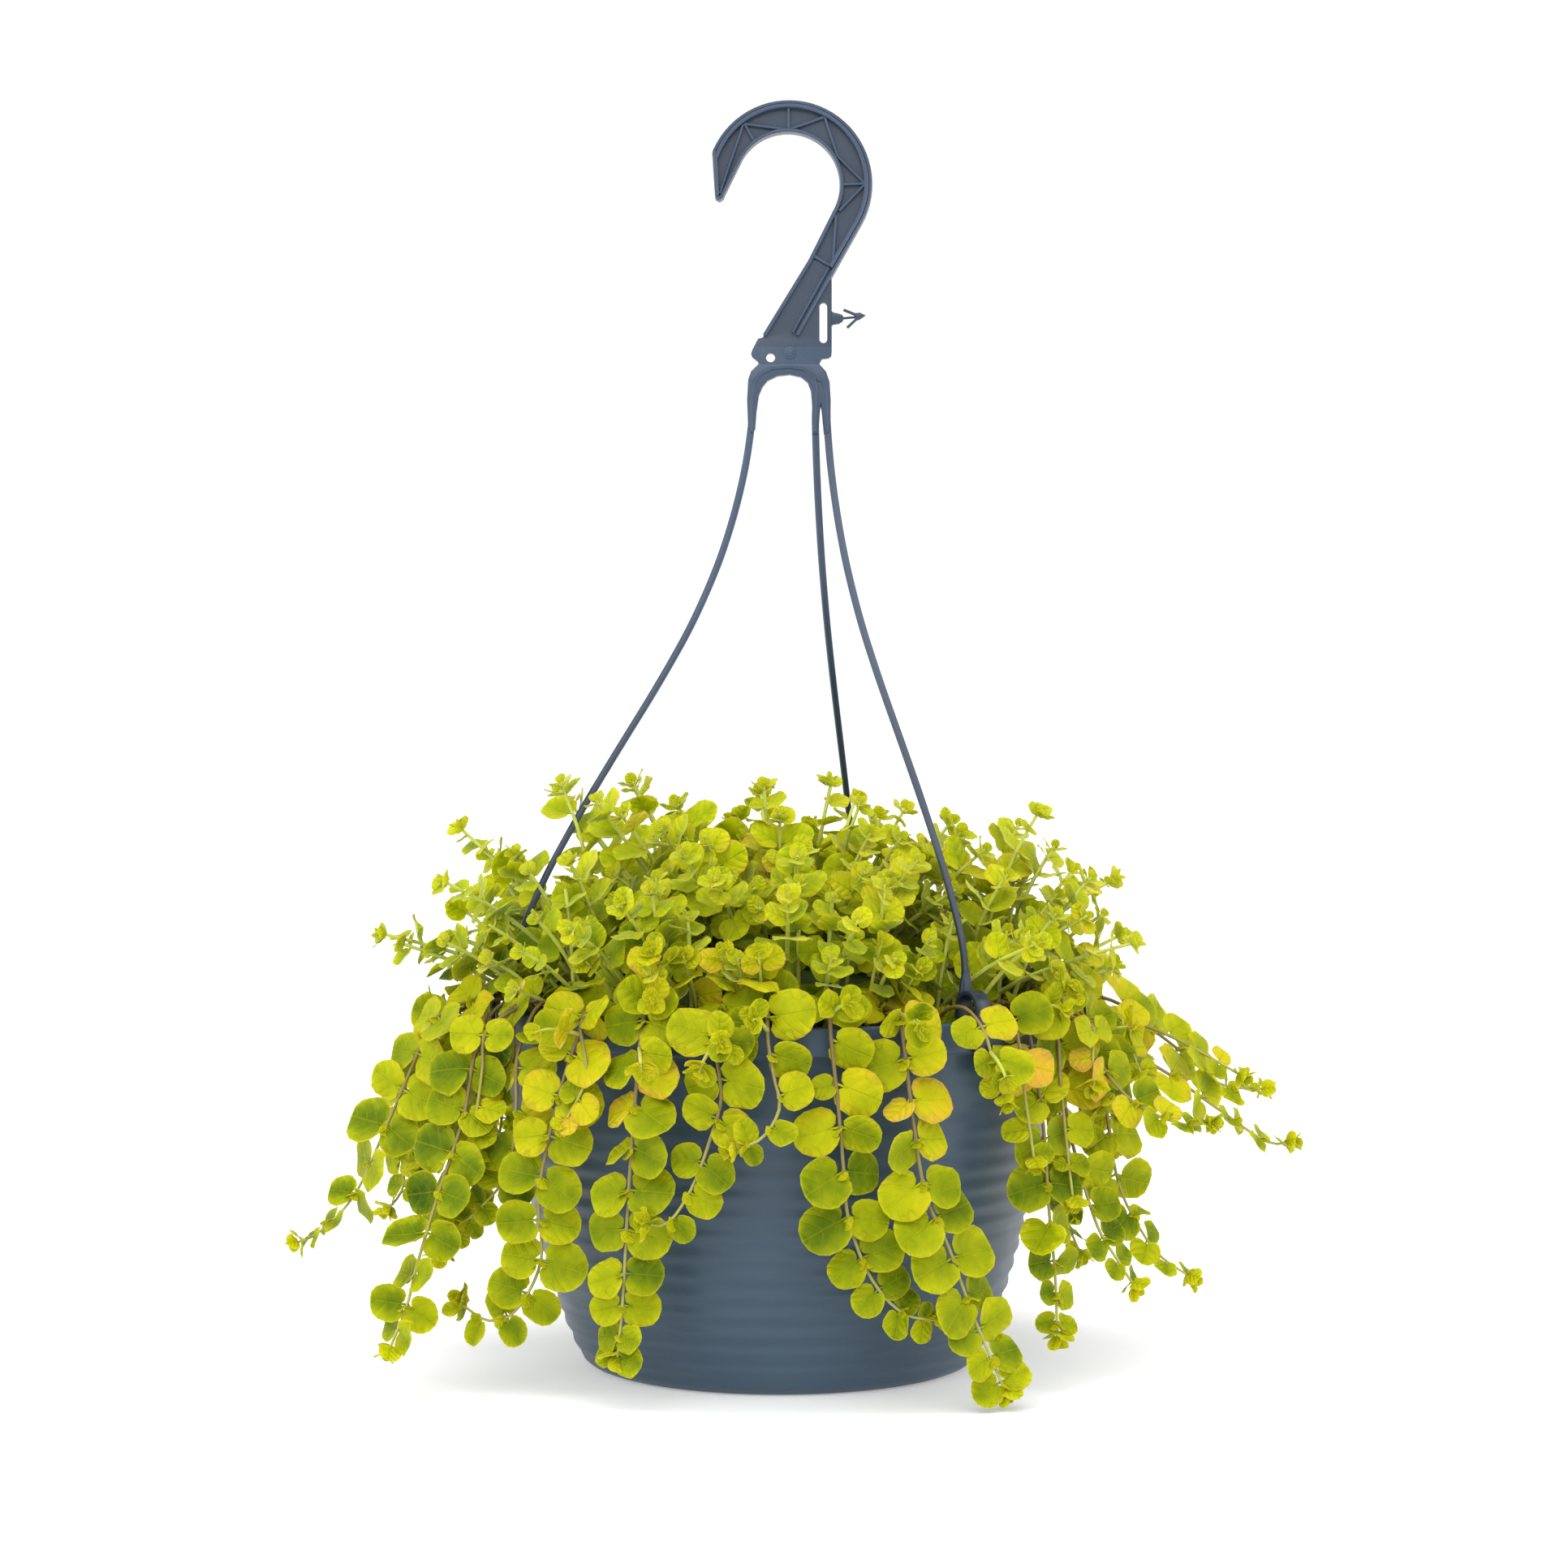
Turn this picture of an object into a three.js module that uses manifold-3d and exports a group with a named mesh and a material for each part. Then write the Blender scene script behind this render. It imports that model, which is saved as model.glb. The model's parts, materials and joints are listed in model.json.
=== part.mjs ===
// A golden creeping jenny in a moulded hanging pot, in millimetres, +Z up, the front facing -Y.
// The origin is the middle of the pot's underside, on the surface that the pot stands on.
// Places on the plant are given as azimuth in degrees (0 is the front, 90 is +X), radius and height.

import * as THREE from "three";
import { mergeVertices } from "three/addons/utils/BufferGeometryUtils.js";
import Module from "manifold-3d";

const wasm = await Module();
wasm.setup();

// Driving dimensions of the pot
const POT_SIDES = 28;
const RIM_RADIUS = 125;
const RIM_TOP = 155.5;
const RIM_BAND = 12.5;
const WALL = 2;
const FLOOR = 4;
const FOOT_RADIUS = 79.5;
const WALL_CURVE = [[86, 3], [92.4, 15], [102.6, 46], [110, 74], [116, 106], [121.2, RIM_TOP - RIM_BAND]];
const RIB_PITCH = 8.33;
const RIB_FIRST = 10.1;
const RIB_COUNT = 6;
const RIB_HEIGHT = 0.8;
const PAD_RADIUS = 23;
const UNDERSIDE_RECESS = 2;
const DRAIN_HOLES = 8;
const DRAIN_RADIUS = 3.5;
const DRAIN_CIRCLE = 56;

// Driving dimensions of the soil
const SOIL_TOP = 147;
const SOIL_GAP = 0.3;
const ROOT_RADIUS = 26;
const ROOT_DEPTH = 5;
const HOLE_RADIUS = 2.2;
const HOLE_DEPTH = 6;

// Driving dimensions of the hanger
const HOOK_CENTRE = [4, 517.7];
const HOOK_INNER = 21.8;
const HOOK_OUTER = 36.2;
const HOOK_DEPTH = 8;
const HOOK_WEB = 2.4;
const HOOK_WALL = 1.8;
const RIB_WIDTH = 1.4;
const PLATE_DEPTH = 3.4;
const LEG_AZIMUTHS = [281, 41, 161];
const LEG_RADIUS = 1.8;
const CLIP_MIDDLE = 120.9;
const CLIP_SPAN = 12.8;
const CLIP_BAND = 1.7;
const CLIP_WIDTH = 8;
const CLIP_TOP = 168;
const CLIP_FOOT = 141;

// Driving dimensions of the plant
const CORE_RADIUS = 80;
const CORE_HEIGHT = 42;
const CORE_LEAVES = 36;
const STEM_RADIUS = 1.2;
const PETIOLE_RADIUS = 0.55;
const LEAF_LENGTH = 19;
const LEAF_THICKNESS = 0.7;
const LEAF_FOLD = 0.14;
const PAIR_SPACING = 17;
const SHOOT_LEAF = 18;
const SHOOT_SPACING = 13;
const SMALLEST_LEAF = 0.42;
const LEAST_SHOWN = 10.5;

const radians = THREE.MathUtils.degToRad;

// Solids: a closed geometry becomes a solid, is joined or cut, and becomes a geometry again

function solidOf(geometry) {
  const loose = geometry.index ? geometry.toNonIndexed() : geometry;
  const bare = new THREE.BufferGeometry().setAttribute("position", loose.getAttribute("position"));
  const merged = mergeVertices(bare, 1e-4);
  const corners = [];
  for (let i = 0; i < merged.index.count; i += 3) {
    const [a, b, c] = merged.index.array.slice(i, i + 3);
    if (a !== b && b !== c && c !== a) {
      corners.push(a, b, c);
    }
  }
  const vertProperties = merged.getAttribute("position").array;
  const made = new wasm.Manifold(
    new wasm.Mesh({ numProp: 3, vertProperties, triVerts: new Uint32Array(corners) }),
  );
  return made;
}

function geometryOf(made) {
  const mesh = made.getMesh();
  const geometry = new THREE.BufferGeometry();
  geometry.setAttribute("position", new THREE.BufferAttribute(mesh.vertProperties, 3));
  geometry.setIndex(new THREE.BufferAttribute(mesh.triVerts, 1));
  geometry.computeVertexNormals();
  return geometry;
}

function joined(solids) {
  return solids.reduce((all, one) => all.add(one));
}

// A closed profile of [radius, height] points turned about the vertical axis
function turned(profile, sides = POT_SIDES) {
  const points = profile.map(([radius, height]) => new THREE.Vector2(radius, height));
  return new THREE.LatheGeometry(points, sides).rotateX(Math.PI / 2);
}

// An outline of [x, z] points made a plate of the given depth about the plane y = 0
function plate(outline, depth, holes = []) {
  const shape = new THREE.Shape(outline.map(([x, z]) => new THREE.Vector2(x, z)));
  shape.holes = holes.map((hole) => new THREE.Path(hole.map(([x, z]) => new THREE.Vector2(x, z))));
  const geometry = new THREE.ExtrudeGeometry(shape, { depth, bevelEnabled: false, curveSegments: 6 });
  return geometry.translate(0, 0, -depth / 2).rotateX(Math.PI / 2);
}

function arc([x, z], radius, from, to, steps) {
  const points = [];
  for (let i = 0; i <= steps; i += 1) {
    const angle = radians(from + ((to - from) * i) / steps);
    points.push([x + radius * Math.cos(angle), z + radius * Math.sin(angle)]);
  }
  return points;
}

// A straight bar of rectangular section between two [x, z] points, centred on depth y
function bar([x0, z0], [x1, z1], width, depth, y = 0) {
  const length = Math.hypot(x1 - x0, z1 - z0);
  const box = new THREE.BoxGeometry(length, depth, width);
  box.rotateY(-Math.atan2(z1 - z0, x1 - x0));
  return box.translate((x0 + x1) / 2, y, (z0 + z1) / 2);
}

function polygon(radius, sides, turn = 0) {
  const points = [];
  for (let i = 0; i < sides; i += 1) {
    const angle = turn + (2 * Math.PI * i) / sides;
    points.push(new THREE.Vector2(radius * Math.cos(angle), radius * Math.sin(angle)));
  }
  return new THREE.Shape(points);
}

function tube(path, steps, section) {
  return new THREE.ExtrudeGeometry(section, { steps, extrudePath: path, bevelEnabled: false });
}

function place(azimuth, radius, height) {
  const angle = radians(azimuth);
  return new THREE.Vector3(radius * Math.sin(angle), -radius * Math.cos(angle), height);
}

function smooth(points) {
  return new THREE.CatmullRomCurve3(points, false, "catmullrom", 0.5);
}

// Pot: a turned shell with soft ribs, a rim band, a foot ring and drain holes

function wallRadius(height) {
  const above = WALL_CURVE.findIndex(([, z]) => z >= height);
  if (above < 0) {
    return RIM_RADIUS;
  }
  if (above === 0) {
    return WALL_CURVE[0][0];
  }
  const [r0, z0] = WALL_CURVE[above - 1];
  const [r1, z1] = WALL_CURVE[above];
  return r0 + ((r1 - r0) * (height - z0)) / (z1 - z0);
}

function potOutside() {
  const wallTop = RIM_TOP - RIM_BAND;
  const points = [[FOOT_RADIUS, 0], [83.5, 1], [86, 3]];
  for (let i = 0; i < 2 * RIB_COUNT; i += 1) {
    const height = RIB_FIRST + (RIB_PITCH * (i - 0.5)) / 2;
    const relief = i % 2 ? RIB_HEIGHT / 2 : -RIB_HEIGHT / 2;
    points.push([wallRadius(height) + relief, height]);
  }
  points.push([wallRadius(74), 74], [wallRadius(106), 106], [wallRadius(wallTop), wallTop]);
  points.push([RIM_RADIUS - 0.8, wallTop], [RIM_RADIUS, wallTop + 1], [RIM_RADIUS, RIM_TOP - 0.8]);
  points.push([RIM_RADIUS - 0.8, RIM_TOP], [RIM_RADIUS - WALL, RIM_TOP]);
  return points;
}

// Inner wall from the top down, moved inwards by offset
function potInside(offset, top) {
  const heights = [RIM_TOP - RIM_BAND, 106, 46, 15];
  const points = [[wallRadius(Math.min(top, RIM_TOP - RIM_BAND)) - WALL - offset, top]];
  heights.forEach((height) => points.push([wallRadius(height) - WALL - offset, height]));
  points.push([wallRadius(3) - WALL - offset, FLOOR + 2 + offset], [FOOT_RADIUS - offset, FLOOR + offset]);
  return points;
}

function makePot() {
  const profile = [
    [0, 0],
    [PAD_RADIUS, 0],
    [PAD_RADIUS + 1, UNDERSIDE_RECESS],
    [FOOT_RADIUS - 5, UNDERSIDE_RECESS],
    [FOOT_RADIUS - 4, 0],
    ...potOutside(),
    ...potInside(0, RIM_TOP - 3),
    [0, FLOOR],
  ];
  let shell = solidOf(turned(profile));
  for (let i = 0; i < DRAIN_HOLES; i += 1) {
    const drill = new THREE.CylinderGeometry(DRAIN_RADIUS, DRAIN_RADIUS, 3 * FLOOR, 6);
    const middle = place((360 * (i + 0.5)) / DRAIN_HOLES, DRAIN_CIRCLE, FLOOR / 2);
    drill.rotateX(Math.PI / 2).translate(middle.x, middle.y, middle.z);
    shell = shell.subtract(solidOf(drill));
  }
  return shell;
}

// Hanger: ribbed hook, plate, bridge arch, three legs and their clips, moulded in one piece

function hookOutline(inset) {
  const outer = HOOK_OUTER - inset;
  const inner = HOOK_INNER + inset;
  const [x, z] = HOOK_CENTRE;
  return [
    [-28.4 + inset, 510 + inset],
    [-29.3 + inset, 528 - inset / 2],
    ...arc(HOOK_CENTRE, outer, 155, -10, 11),
    [36.5 - inset * 0.9, 500],
    [25.5 - inset * 1.15, 480],
    [8 - inset * 0.6, 449.5 + inset],
    [-8.2 + inset * 1.8, 449.5 + inset],
    [12.6 + inset * 1.1, 483],
    [x + inner + 0.4, z - 12],
    ...arc(HOOK_CENTRE, inner, -22.5, 142.5, 11),
    [-16.5 - inset * 0.9, 523],
    [-25.2 - inset * 0.4, 508.6 + inset],
  ];
}

const RIB_LINES = [
  [[-15.4, 543], [4, 542]],
  [[4, 542], [4, 554]],
  [[4, 542], [19.3, 546.3]],
  [[19.3, 546.3], [25.7, 528.8]],
  [[25.7, 528.8], [36.8, 516.7]],
  [[27, 517], [38, 517]],
  [[36.8, 516.7], [26.2, 505.3]],
  [[-15.4, 543], [-26.2, 512.7]],
  [[24.6, 503], [22.9, 481.6]],
  [[14, 485.6], [23, 480.6]],
];

function makeHook() {
  const body = solidOf(plate(hookOutline(0), HOOK_DEPTH));
  const pocket = solidOf(plate(hookOutline(HOOK_WALL), HOOK_DEPTH));
  const ribs = joined(RIB_LINES.map(([a, b]) => solidOf(bar(a, b, RIB_WIDTH, 2 * HOOK_DEPTH))));
  const hollow = pocket.subtract(ribs);
  const shift = (HOOK_DEPTH + HOOK_WEB) / 2;
  return body.subtract(hollow.translate([0, -shift, 0])).subtract(hollow.translate([0, shift, 0]));
}

// The plate under the hook, with its slot, its small hole and the barb that holds a label
function makePlate() {
  const outline = [
    [-8.8, 452], [-12.5, 442], [-9.3, 438.2], [-9, 435], [17, 435], [17.2, 438.5], [21.8, 441.5],
    [22.4, 445], [22.8, 473.5], [19, 473.5], [6, 456],
  ];
  const slot = [[17.4, 447], [20.8, 447], [20.8, 464.8], [17.4, 464.8]];
  const round = arc([-4.1, 440.6], 2, 0, 315, 7);
  const barb = [
    [22, 454.8], [26.5, 455.6], [28.2, 457.6], [33.4, 458.1], [29.2, 454.4], [30, 453.4], [35, 457],
    [37.8, 459.4], [34.8, 460.8], [28, 462.6], [27.8, 461.2], [33, 459.6], [28.2, 459], [26.5, 460],
    [22, 460.8],
  ];
  const gate = new THREE.CylinderGeometry(2.8, 2.8, PLATE_DEPTH + 0.8, 10).translate(4.3, 0, 0);
  return joined([
    solidOf(plate(outline, PLATE_DEPTH, [slot, round])),
    solidOf(plate(barb, 1.6)),
    solidOf(gate.translate(0, 0, 442.7)),
  ]);
}

// The bridge: an arch on a left strut and, on the right, a strut that forks for two legs
function makeBridge() {
  const outline = [
    [-9.3, 438], [-12.7, 434.7], [-14, 431], [-14.4, 422], [-13.6, 411], [-11.4, 411], [-10.2, 419],
    [-7.6, 427.7], [-5.4, 430.6], [-1.1, 432.6], [4.3, 433.1], [9.3, 432], [12.5, 429.3], [13.9, 425.6],
    [14.2, 409], [16.9, 409], [17.4, 419], [18.3, 419], [19.7, 409], [22.1, 409],
    [22.4, 422], [21.9, 431], [20.3, 435], [17.2, 438],
  ];
  return solidOf(plate(outline, 5));
}

// How far a leg has spread from the bridge (0) to its clip (1), by height
const LEG_SPREAD = [
  [411, 0], [404, 0.01], [388, 0.035], [371, 0.076], [350, 0.143], [323, 0.255], [297, 0.405],
  [275, 0.53], [251, 0.67], [220, 0.825], [204, 0.91], [190, 0.965], [176, 1],
];
const LEG_TOPS = [[-12.4, 0], [20.8, 0], [15.6, 0]];

function legPath(index) {
  const foot = place(LEG_AZIMUTHS[index], CLIP_MIDDLE - 4, 0);
  const [x, y] = LEG_TOPS[index];
  const points = LEG_SPREAD.map(([height, spread]) => {
    return new THREE.Vector3(x + (foot.x - x) * spread, y + (foot.y - y) * spread, height);
  });
  points.unshift(new THREE.Vector3(x, y, 416));
  points.push(new THREE.Vector3(foot.x, foot.y, CLIP_TOP - 1));
  return smooth(points);
}

// A saddle clip over the rim: an inverted U seen along the rim, with a barb under the band
function makeClip(azimuth) {
  const outer = CLIP_SPAN / 2;
  const inner = outer - CLIP_BAND;
  const springing = CLIP_TOP - outer;
  const profile = [
    [outer, CLIP_FOOT],
    ...arc([0, springing], outer, 0, 180, 6),
    [-outer, RIM_TOP - 2],
    [-inner, RIM_TOP - 2],
    ...arc([0, springing], inner, 180, 0, 6),
    [inner, RIM_TOP - RIM_BAND - 0.4],
    [inner - 1.6, RIM_TOP - RIM_BAND - 0.4],
    [inner - 1, CLIP_FOOT],
  ];
  const saddle = solidOf(plate(profile, CLIP_WIDTH));
  const flare = new THREE.CylinderGeometry(LEG_RADIUS, 3.4, 8, 6);
  flare.rotateX(Math.PI / 2).translate(-4, 0, CLIP_TOP + 2);
  const clip = saddle.add(solidOf(flare));
  const turn = new THREE.Matrix4().makeRotationZ(radians(azimuth - 90));
  turn.setPosition(place(azimuth, CLIP_MIDDLE, 0));
  return clip.transform(turn.elements);
}

function makeHanger() {
  const legs = LEG_AZIMUTHS.map((_, index) => {
    return solidOf(tube(legPath(index), 11, polygon(LEG_RADIUS, 4)));
  });
  const clips = LEG_AZIMUTHS.map((azimuth) => makeClip(azimuth));
  return joined([makeHook(), makePlate(), makeBridge(), ...legs, ...clips]);
}

// The plant's leafy stems. Each route lists azimuth, radius and height from where it shows to its tip.

const STRANDS = [
  [
    [289, 148, 158], [289, 158, 147], [288, 166, 128], [287, 175, 106],
    [287, 188, 79], [287, 203, 64], [287, 213, 60],
  ],
  [[301, 146, 144], [301, 153, 114], [300, 162, 86], [299, 171, 55], [299, 176, 37], [298, 183, 18]],
  [[268, 158, 140], [268, 165, 122], [268, 168, 97], [267, 167, 75], [267, 175, 63]],
  [
    [322, 133, 150], [320, 135, 136], [316, 136, 107], [314, 137, 83],
    [314, 136, 57], [309, 140, 36], [304, 146, 31], [298, 153, 38],
  ],
  [[308, 137, 142], [308, 138, 116], [306, 139, 92], [301, 146, 76], [296, 152, 66]],
  [[335, 133, 146], [334, 133, 120], [333, 133, 92], [332, 132, 64], [331, 131, 40], [330, 131, 20]],
  [[349, 133, 148], [350, 134, 128], [348, 135, 110], [345, 135, 92], [341, 137, 78], [337, 141, 78]],
  [[358, 134, 152], [359, 139, 138], [0, 142, 125], [357, 144, 113], [352, 146, 109]],
  [
    [9, 132, 150], [10, 134, 126], [11, 134, 99], [12, 133, 79],
    [16, 132, 56], [22, 132, 41], [29, 134, 37],
  ],
  [
    [22, 133, 148], [23, 136, 120], [25, 138, 89], [29, 139, 68],
    [33, 141, 42], [37, 144, 18], [39, 146, 6],
  ],
  [[51, 133, 148], [54, 135, 112], [55, 136, 80], [56, 138, 48], [56, 139, 22]],
  [[61, 134, 142], [62, 137, 110], [65, 146, 70], [67, 154, 53], [69, 161, 40]],
  [[75, 141, 142], [75, 145, 110], [75, 150, 82], [76, 158, 64], [77, 167, 51], [78, 181, 41]],
  [[86, 135, 158], [86, 152, 138], [86, 172, 125], [85, 192, 111], [84, 212, 98], [84, 224, 98]],
  [[98, 150, 156], [98, 163, 147], [98, 184, 131], [98, 200, 118], [99, 223, 115]],
  [[67, 146, 136], [67, 158, 122], [67, 170, 115], [67, 183, 111], [67, 196, 112]],
  [[37, 138, 152], [37, 144, 138], [38, 148, 124]],
  [[112, 135, 146], [112, 138, 112], [114, 140, 80], [115, 146, 52], [115, 154, 34]],
  [[139, 134, 146], [140, 136, 108], [142, 137, 70], [144, 139, 34], [146, 143, 12]],
  [[174, 134, 148], [173, 136, 114], [172, 137, 78], [171, 139, 46], [168, 146, 28]],
  [[200, 133, 146], [201, 135, 104], [203, 136, 64], [204, 139, 30], [205, 146, 12]],
  [[214, 138, 150], [215, 148, 128], [216, 156, 100], [216, 165, 78], [216, 176, 64]],
  [[229, 134, 148], [229, 137, 110], [228, 139, 74], [226, 143, 44]],
  [[256, 136, 148], [256, 144, 122], [257, 148, 92], [257, 154, 68]],
];

// Shoots that lean out over the rim and stay up, by the place of their tips
const ARCHING = [
  [271, 141, 234], [292, 153, 212], [276, 174, 188], [76, 115, 241], [89, 148, 212], [70, 160, 186],
  [330, 128, 204], [14, 128, 198], [110, 150, 206], [180, 148, 202], [208, 140, 214], [236, 152, 196],
];

// Upright shoots of the crown, by the place of their tips
const UPRIGHT = [
  [340, 20, 252], [60, 26, 254], [262, 66, 254], [265, 98, 250], [232, 60, 244], [90, 55, 242],
  [110, 82, 236], [145, 60, 246], [190, 50, 250], [212, 85, 236], [316, 58, 230], [10, 62, 226],
  [40, 60, 232], [72, 82, 232], [355, 92, 202], [325, 90, 208],
];

// A repeatable draw between 0 and 1
function drawer(seed) {
  let state = seed;
  return () => {
    state = (state * 1664525 + 1013904223) % 4294967296;
    return state / 4294967296;
  };
}

// A stem stands upright in its hole and just above it
function rootPoints(azimuth, radius) {
  return [0.4 - HOLE_DEPTH, -1, 5].map((above) => place(azimuth, radius, SOIL_TOP + above));
}

function strandRoute(route, index) {
  const azimuth = route[0][0];
  const root = index % 2 ? 96 : 105;
  const start = [
    ...rootPoints(azimuth, root),
    place(azimuth, (root + 125) / 2, RIM_TOP + 5),
    place(azimuth, 127, RIM_TOP + 5.5),
  ];
  return smooth([...start, ...route.map((point) => place(...point))]);
}

function archingRoute([azimuth, radius, height], index) {
  const root = index % 2 ? 86 : 90;
  const rise = height - SOIL_TOP;
  const reach = radius - root;
  return smooth([
    ...rootPoints(azimuth, root),
    place(azimuth, root + reach * 0.2, SOIL_TOP + rise * 0.42),
    place(azimuth, root + reach * 0.58, SOIL_TOP + rise * 0.76),
    place(azimuth, radius, height),
  ]);
}

function coreTop(radius) {
  const share = Math.min(1, radius / CORE_RADIUS);
  return SOIL_TOP + CORE_HEIGHT * Math.sqrt(1 - share * share);
}

function uprightRoute([azimuth, radius, height]) {
  const root = radius * 0.6;
  const from = coreTop(root) - 5;
  return smooth([
    place(azimuth, root, from),
    place(azimuth, root * 1.04, from + (height - from) * 0.35),
    place(azimuth, radius * 0.82, from + (height - from) * 0.72),
    place(azimuth, radius, height),
  ]);
}

// Leaves stand in opposite pairs. A hanging stem holds them flat to the light on its two sides, an
// upright one turns each pair a quarter round. Towards the tip they are smaller and closer.
function leavesOf(stem) {
  const draw = drawer(stem.seed);
  const length = stem.path.getLength();
  const leaves = [];
  let along = stem.bare;
  for (let pair = 0; along < length - 1; pair += 1) {
    const taper = Math.min(1, (length - along) / stem.taper);
    const share = along / length;
    const at = stem.path.getPointAt(share);
    const ahead = stem.path.getTangentAt(share);
    const turn = radians(90 * pair * stem.upright + (draw() - 0.5) * 50);
    const outward = new THREE.Vector3(at.x, at.y, 0).normalize();
    const sideways = new THREE.Vector3(-outward.y, outward.x, 0);
    if (Math.abs(sideways.dot(ahead)) > 0.9) {
      sideways.set(0, 0, 1);
    }
    sideways.addScaledVector(ahead, -sideways.dot(ahead)).normalize();
    sideways.applyAxisAngle(ahead, turn);
    const up = THREE.MathUtils.clamp(0.25 + 0.6 * (ahead.z + 1), 0, 1);
    const light = outward.clone().multiplyScalar(1 - 0.45 * up).setZ(0.85 * up);
    for (const side of [1, -1]) {
      const size = SMALLEST_LEAF + (1 - SMALLEST_LEAF) * taper;
      leaves.push({
        stem,
        pair,
        share,
        at,
        ahead,
        light,
        side: sideways.clone().multiplyScalar(side),
        size: stem.leaf * size * (0.88 + 0.24 * draw()),
        lift: radians(8 + 30 * stem.upright + (draw() - 0.5) * 30),
        roll: radians((draw() - 0.5) * 30),
      });
    }
    along += stem.spacing * (0.45 + 0.55 * taper) * (0.92 + 0.16 * draw());
  }
  return leaves;
}

// The ways a leaf may give way to what is beside it: more lift, more roll (degrees) and a smaller size
const YIELDS = [
  [0, 0, 1], [16, 0, 1], [-16, 0, 1], [6, 28, 1], [6, -28, 1], [24, 15, 0.85], [-24, -15, 0.85],
  [32, 0, 0.9], [46, 0, 0.8], [-36, 0, 0.8], [10, 40, 0.7], [10, -40, 0.7], [10, 0, 0.5],
];

function posed(leaf, [lift, roll, scale]) {
  const raise = leaf.lift + radians(lift);
  const axis = leaf.side.clone().multiplyScalar(Math.cos(raise));
  axis.addScaledVector(leaf.ahead, Math.sin(raise)).normalize();
  let normal = leaf.light.clone().addScaledVector(axis, -leaf.light.dot(axis));
  if (normal.length() < 0.3) {
    normal = leaf.ahead.clone().addScaledVector(axis, -leaf.ahead.dot(axis));
  }
  normal.normalize().applyAxisAngle(axis, leaf.roll + radians(roll));
  const size = leaf.size * scale;
  const middle = leaf.at.clone().addScaledVector(axis, 0.55 * size);
  middle.addScaledVector(normal, 0.25 * LEAF_FOLD * size);
  return { ...leaf, axis, normal, size, middle, radius: 0.49 * size + 0.3 };
}

// Whether two leaves, as discs of some depth, pass through each other
function cross(a, b) {
  const apart = b.middle.clone().sub(a.middle);
  if (apart.length() > a.radius + b.radius) {
    return false;
  }
  const line = a.normal.clone().cross(b.normal);
  const slope = Math.max(0.001, line.length());
  const depth = 0.2 + (LEAF_FOLD / 4) * (a.size + b.size);
  const fromA = Math.max(0, Math.abs(apart.dot(b.normal)) - depth) / slope;
  const fromB = Math.max(0, Math.abs(apart.dot(a.normal)) - depth) / slope;
  if (fromA > a.radius || fromB > b.radius) {
    return false;
  }
  const chords = Math.sqrt(a.radius ** 2 - fromA ** 2) + Math.sqrt(b.radius ** 2 - fromB ** 2);
  return Math.abs(apart.dot(line)) / slope < chords;
}

function near(leaf, { point, reach }) {
  const apart = point.clone().sub(leaf.middle);
  const height = apart.dot(leaf.normal);
  const flat = Math.sqrt(Math.max(0, apart.lengthSq() - height * height));
  return Math.hypot(height, Math.max(0, flat - leaf.radius)) < reach;
}

// Whether a point is too close to the pot, the soil, the floor or the crown's core
function blocked(point, stem) {
  const radius = Math.hypot(point.x, point.y);
  const overWall = point.z > RIM_TOP + 1;
  const inside = radius < RIM_RADIUS - 8 && point.z > SOIL_TOP + 1.2;
  const outside = radius > (point.z > RIM_TOP - RIM_BAND - 1 ? RIM_RADIUS : wallRadius(point.z)) + 1.4;
  const inCore = radius < CORE_RADIUS + 1 && point.z < coreTop(radius) + (stem.core ? -1 : 1.5);
  return point.z < 0.8 || inCore || !(overWall || inside || outside);
}

function fits(leaf, placed, obstacles) {
  const lobes = bladeOf(leaf);
  const edge = [1, -1].flatMap((side) => lobes.map(([x, y]) => bladePoint(leaf, side * x, y)));
  edge.push(bladePoint(leaf, 0, 1));
  if (edge.some((point) => blocked(point, leaf.stem))) {
    return false;
  }
  if (edge.some((point) => point.clone().sub(leaf.at).dot(leaf.side) < STEM_RADIUS + 0.5)) {
    return false;
  }
  if (obstacles.some((one) => one.stem !== leaf.stem && near(leaf, one))) {
    return false;
  }
  return !placed.some((other) => cross(leaf, other));
}

function pointsAlong(path, reach, stem, step = 3) {
  const steps = Math.ceil(path.getLength() / step);
  return path.getSpacedPoints(steps).map((point) => ({ point, reach, stem }));
}

function settle(stems, leaves) {
  const obstacles = stems.flatMap((stem) => pointsAlong(stem.path, 2.4, stem));
  LEG_AZIMUTHS.forEach((azimuth, index) => {
    obstacles.push(...pointsAlong(legPath(index), 3));
    for (let height = CLIP_FOOT; height <= CLIP_TOP; height += 4) {
      obstacles.push({ point: place(azimuth, CLIP_MIDDLE, height), reach: 8.5 });
    }
  });
  const placed = [];
  for (const leaf of leaves) {
    for (const way of YIELDS) {
      const tried = posed(leaf, way);
      if (fits(tried, placed, obstacles)) {
        placed.push(tried);
        break;
      }
    }
  }
  return placed;
}

// A leafy stem is one closed skin: rings of four corners along the path, ending in a point. Where a
// leaf stands, its corner of the ring opens into a small diamond, and the blade grows out of that.

// Half of a blade's outline from foot to tip, across and along, as shares of its length
const BLADE = [[0.27, 0.17], [0.5, 0.52], [0.33, 0.88]];
const SMALL_BLADE = [[0.4, 0.3], [0.38, 0.8]];
const SMALL_LEAF = 20;

// A ring stands at every leaf, and as often as these two ask for where there is none
const BEND_A_RING = radians(35);
const RING_SPACING = 60;

function bladeOf(leaf) {
  return leaf.size < SMALL_LEAF ? SMALL_BLADE : BLADE;
}

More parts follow.
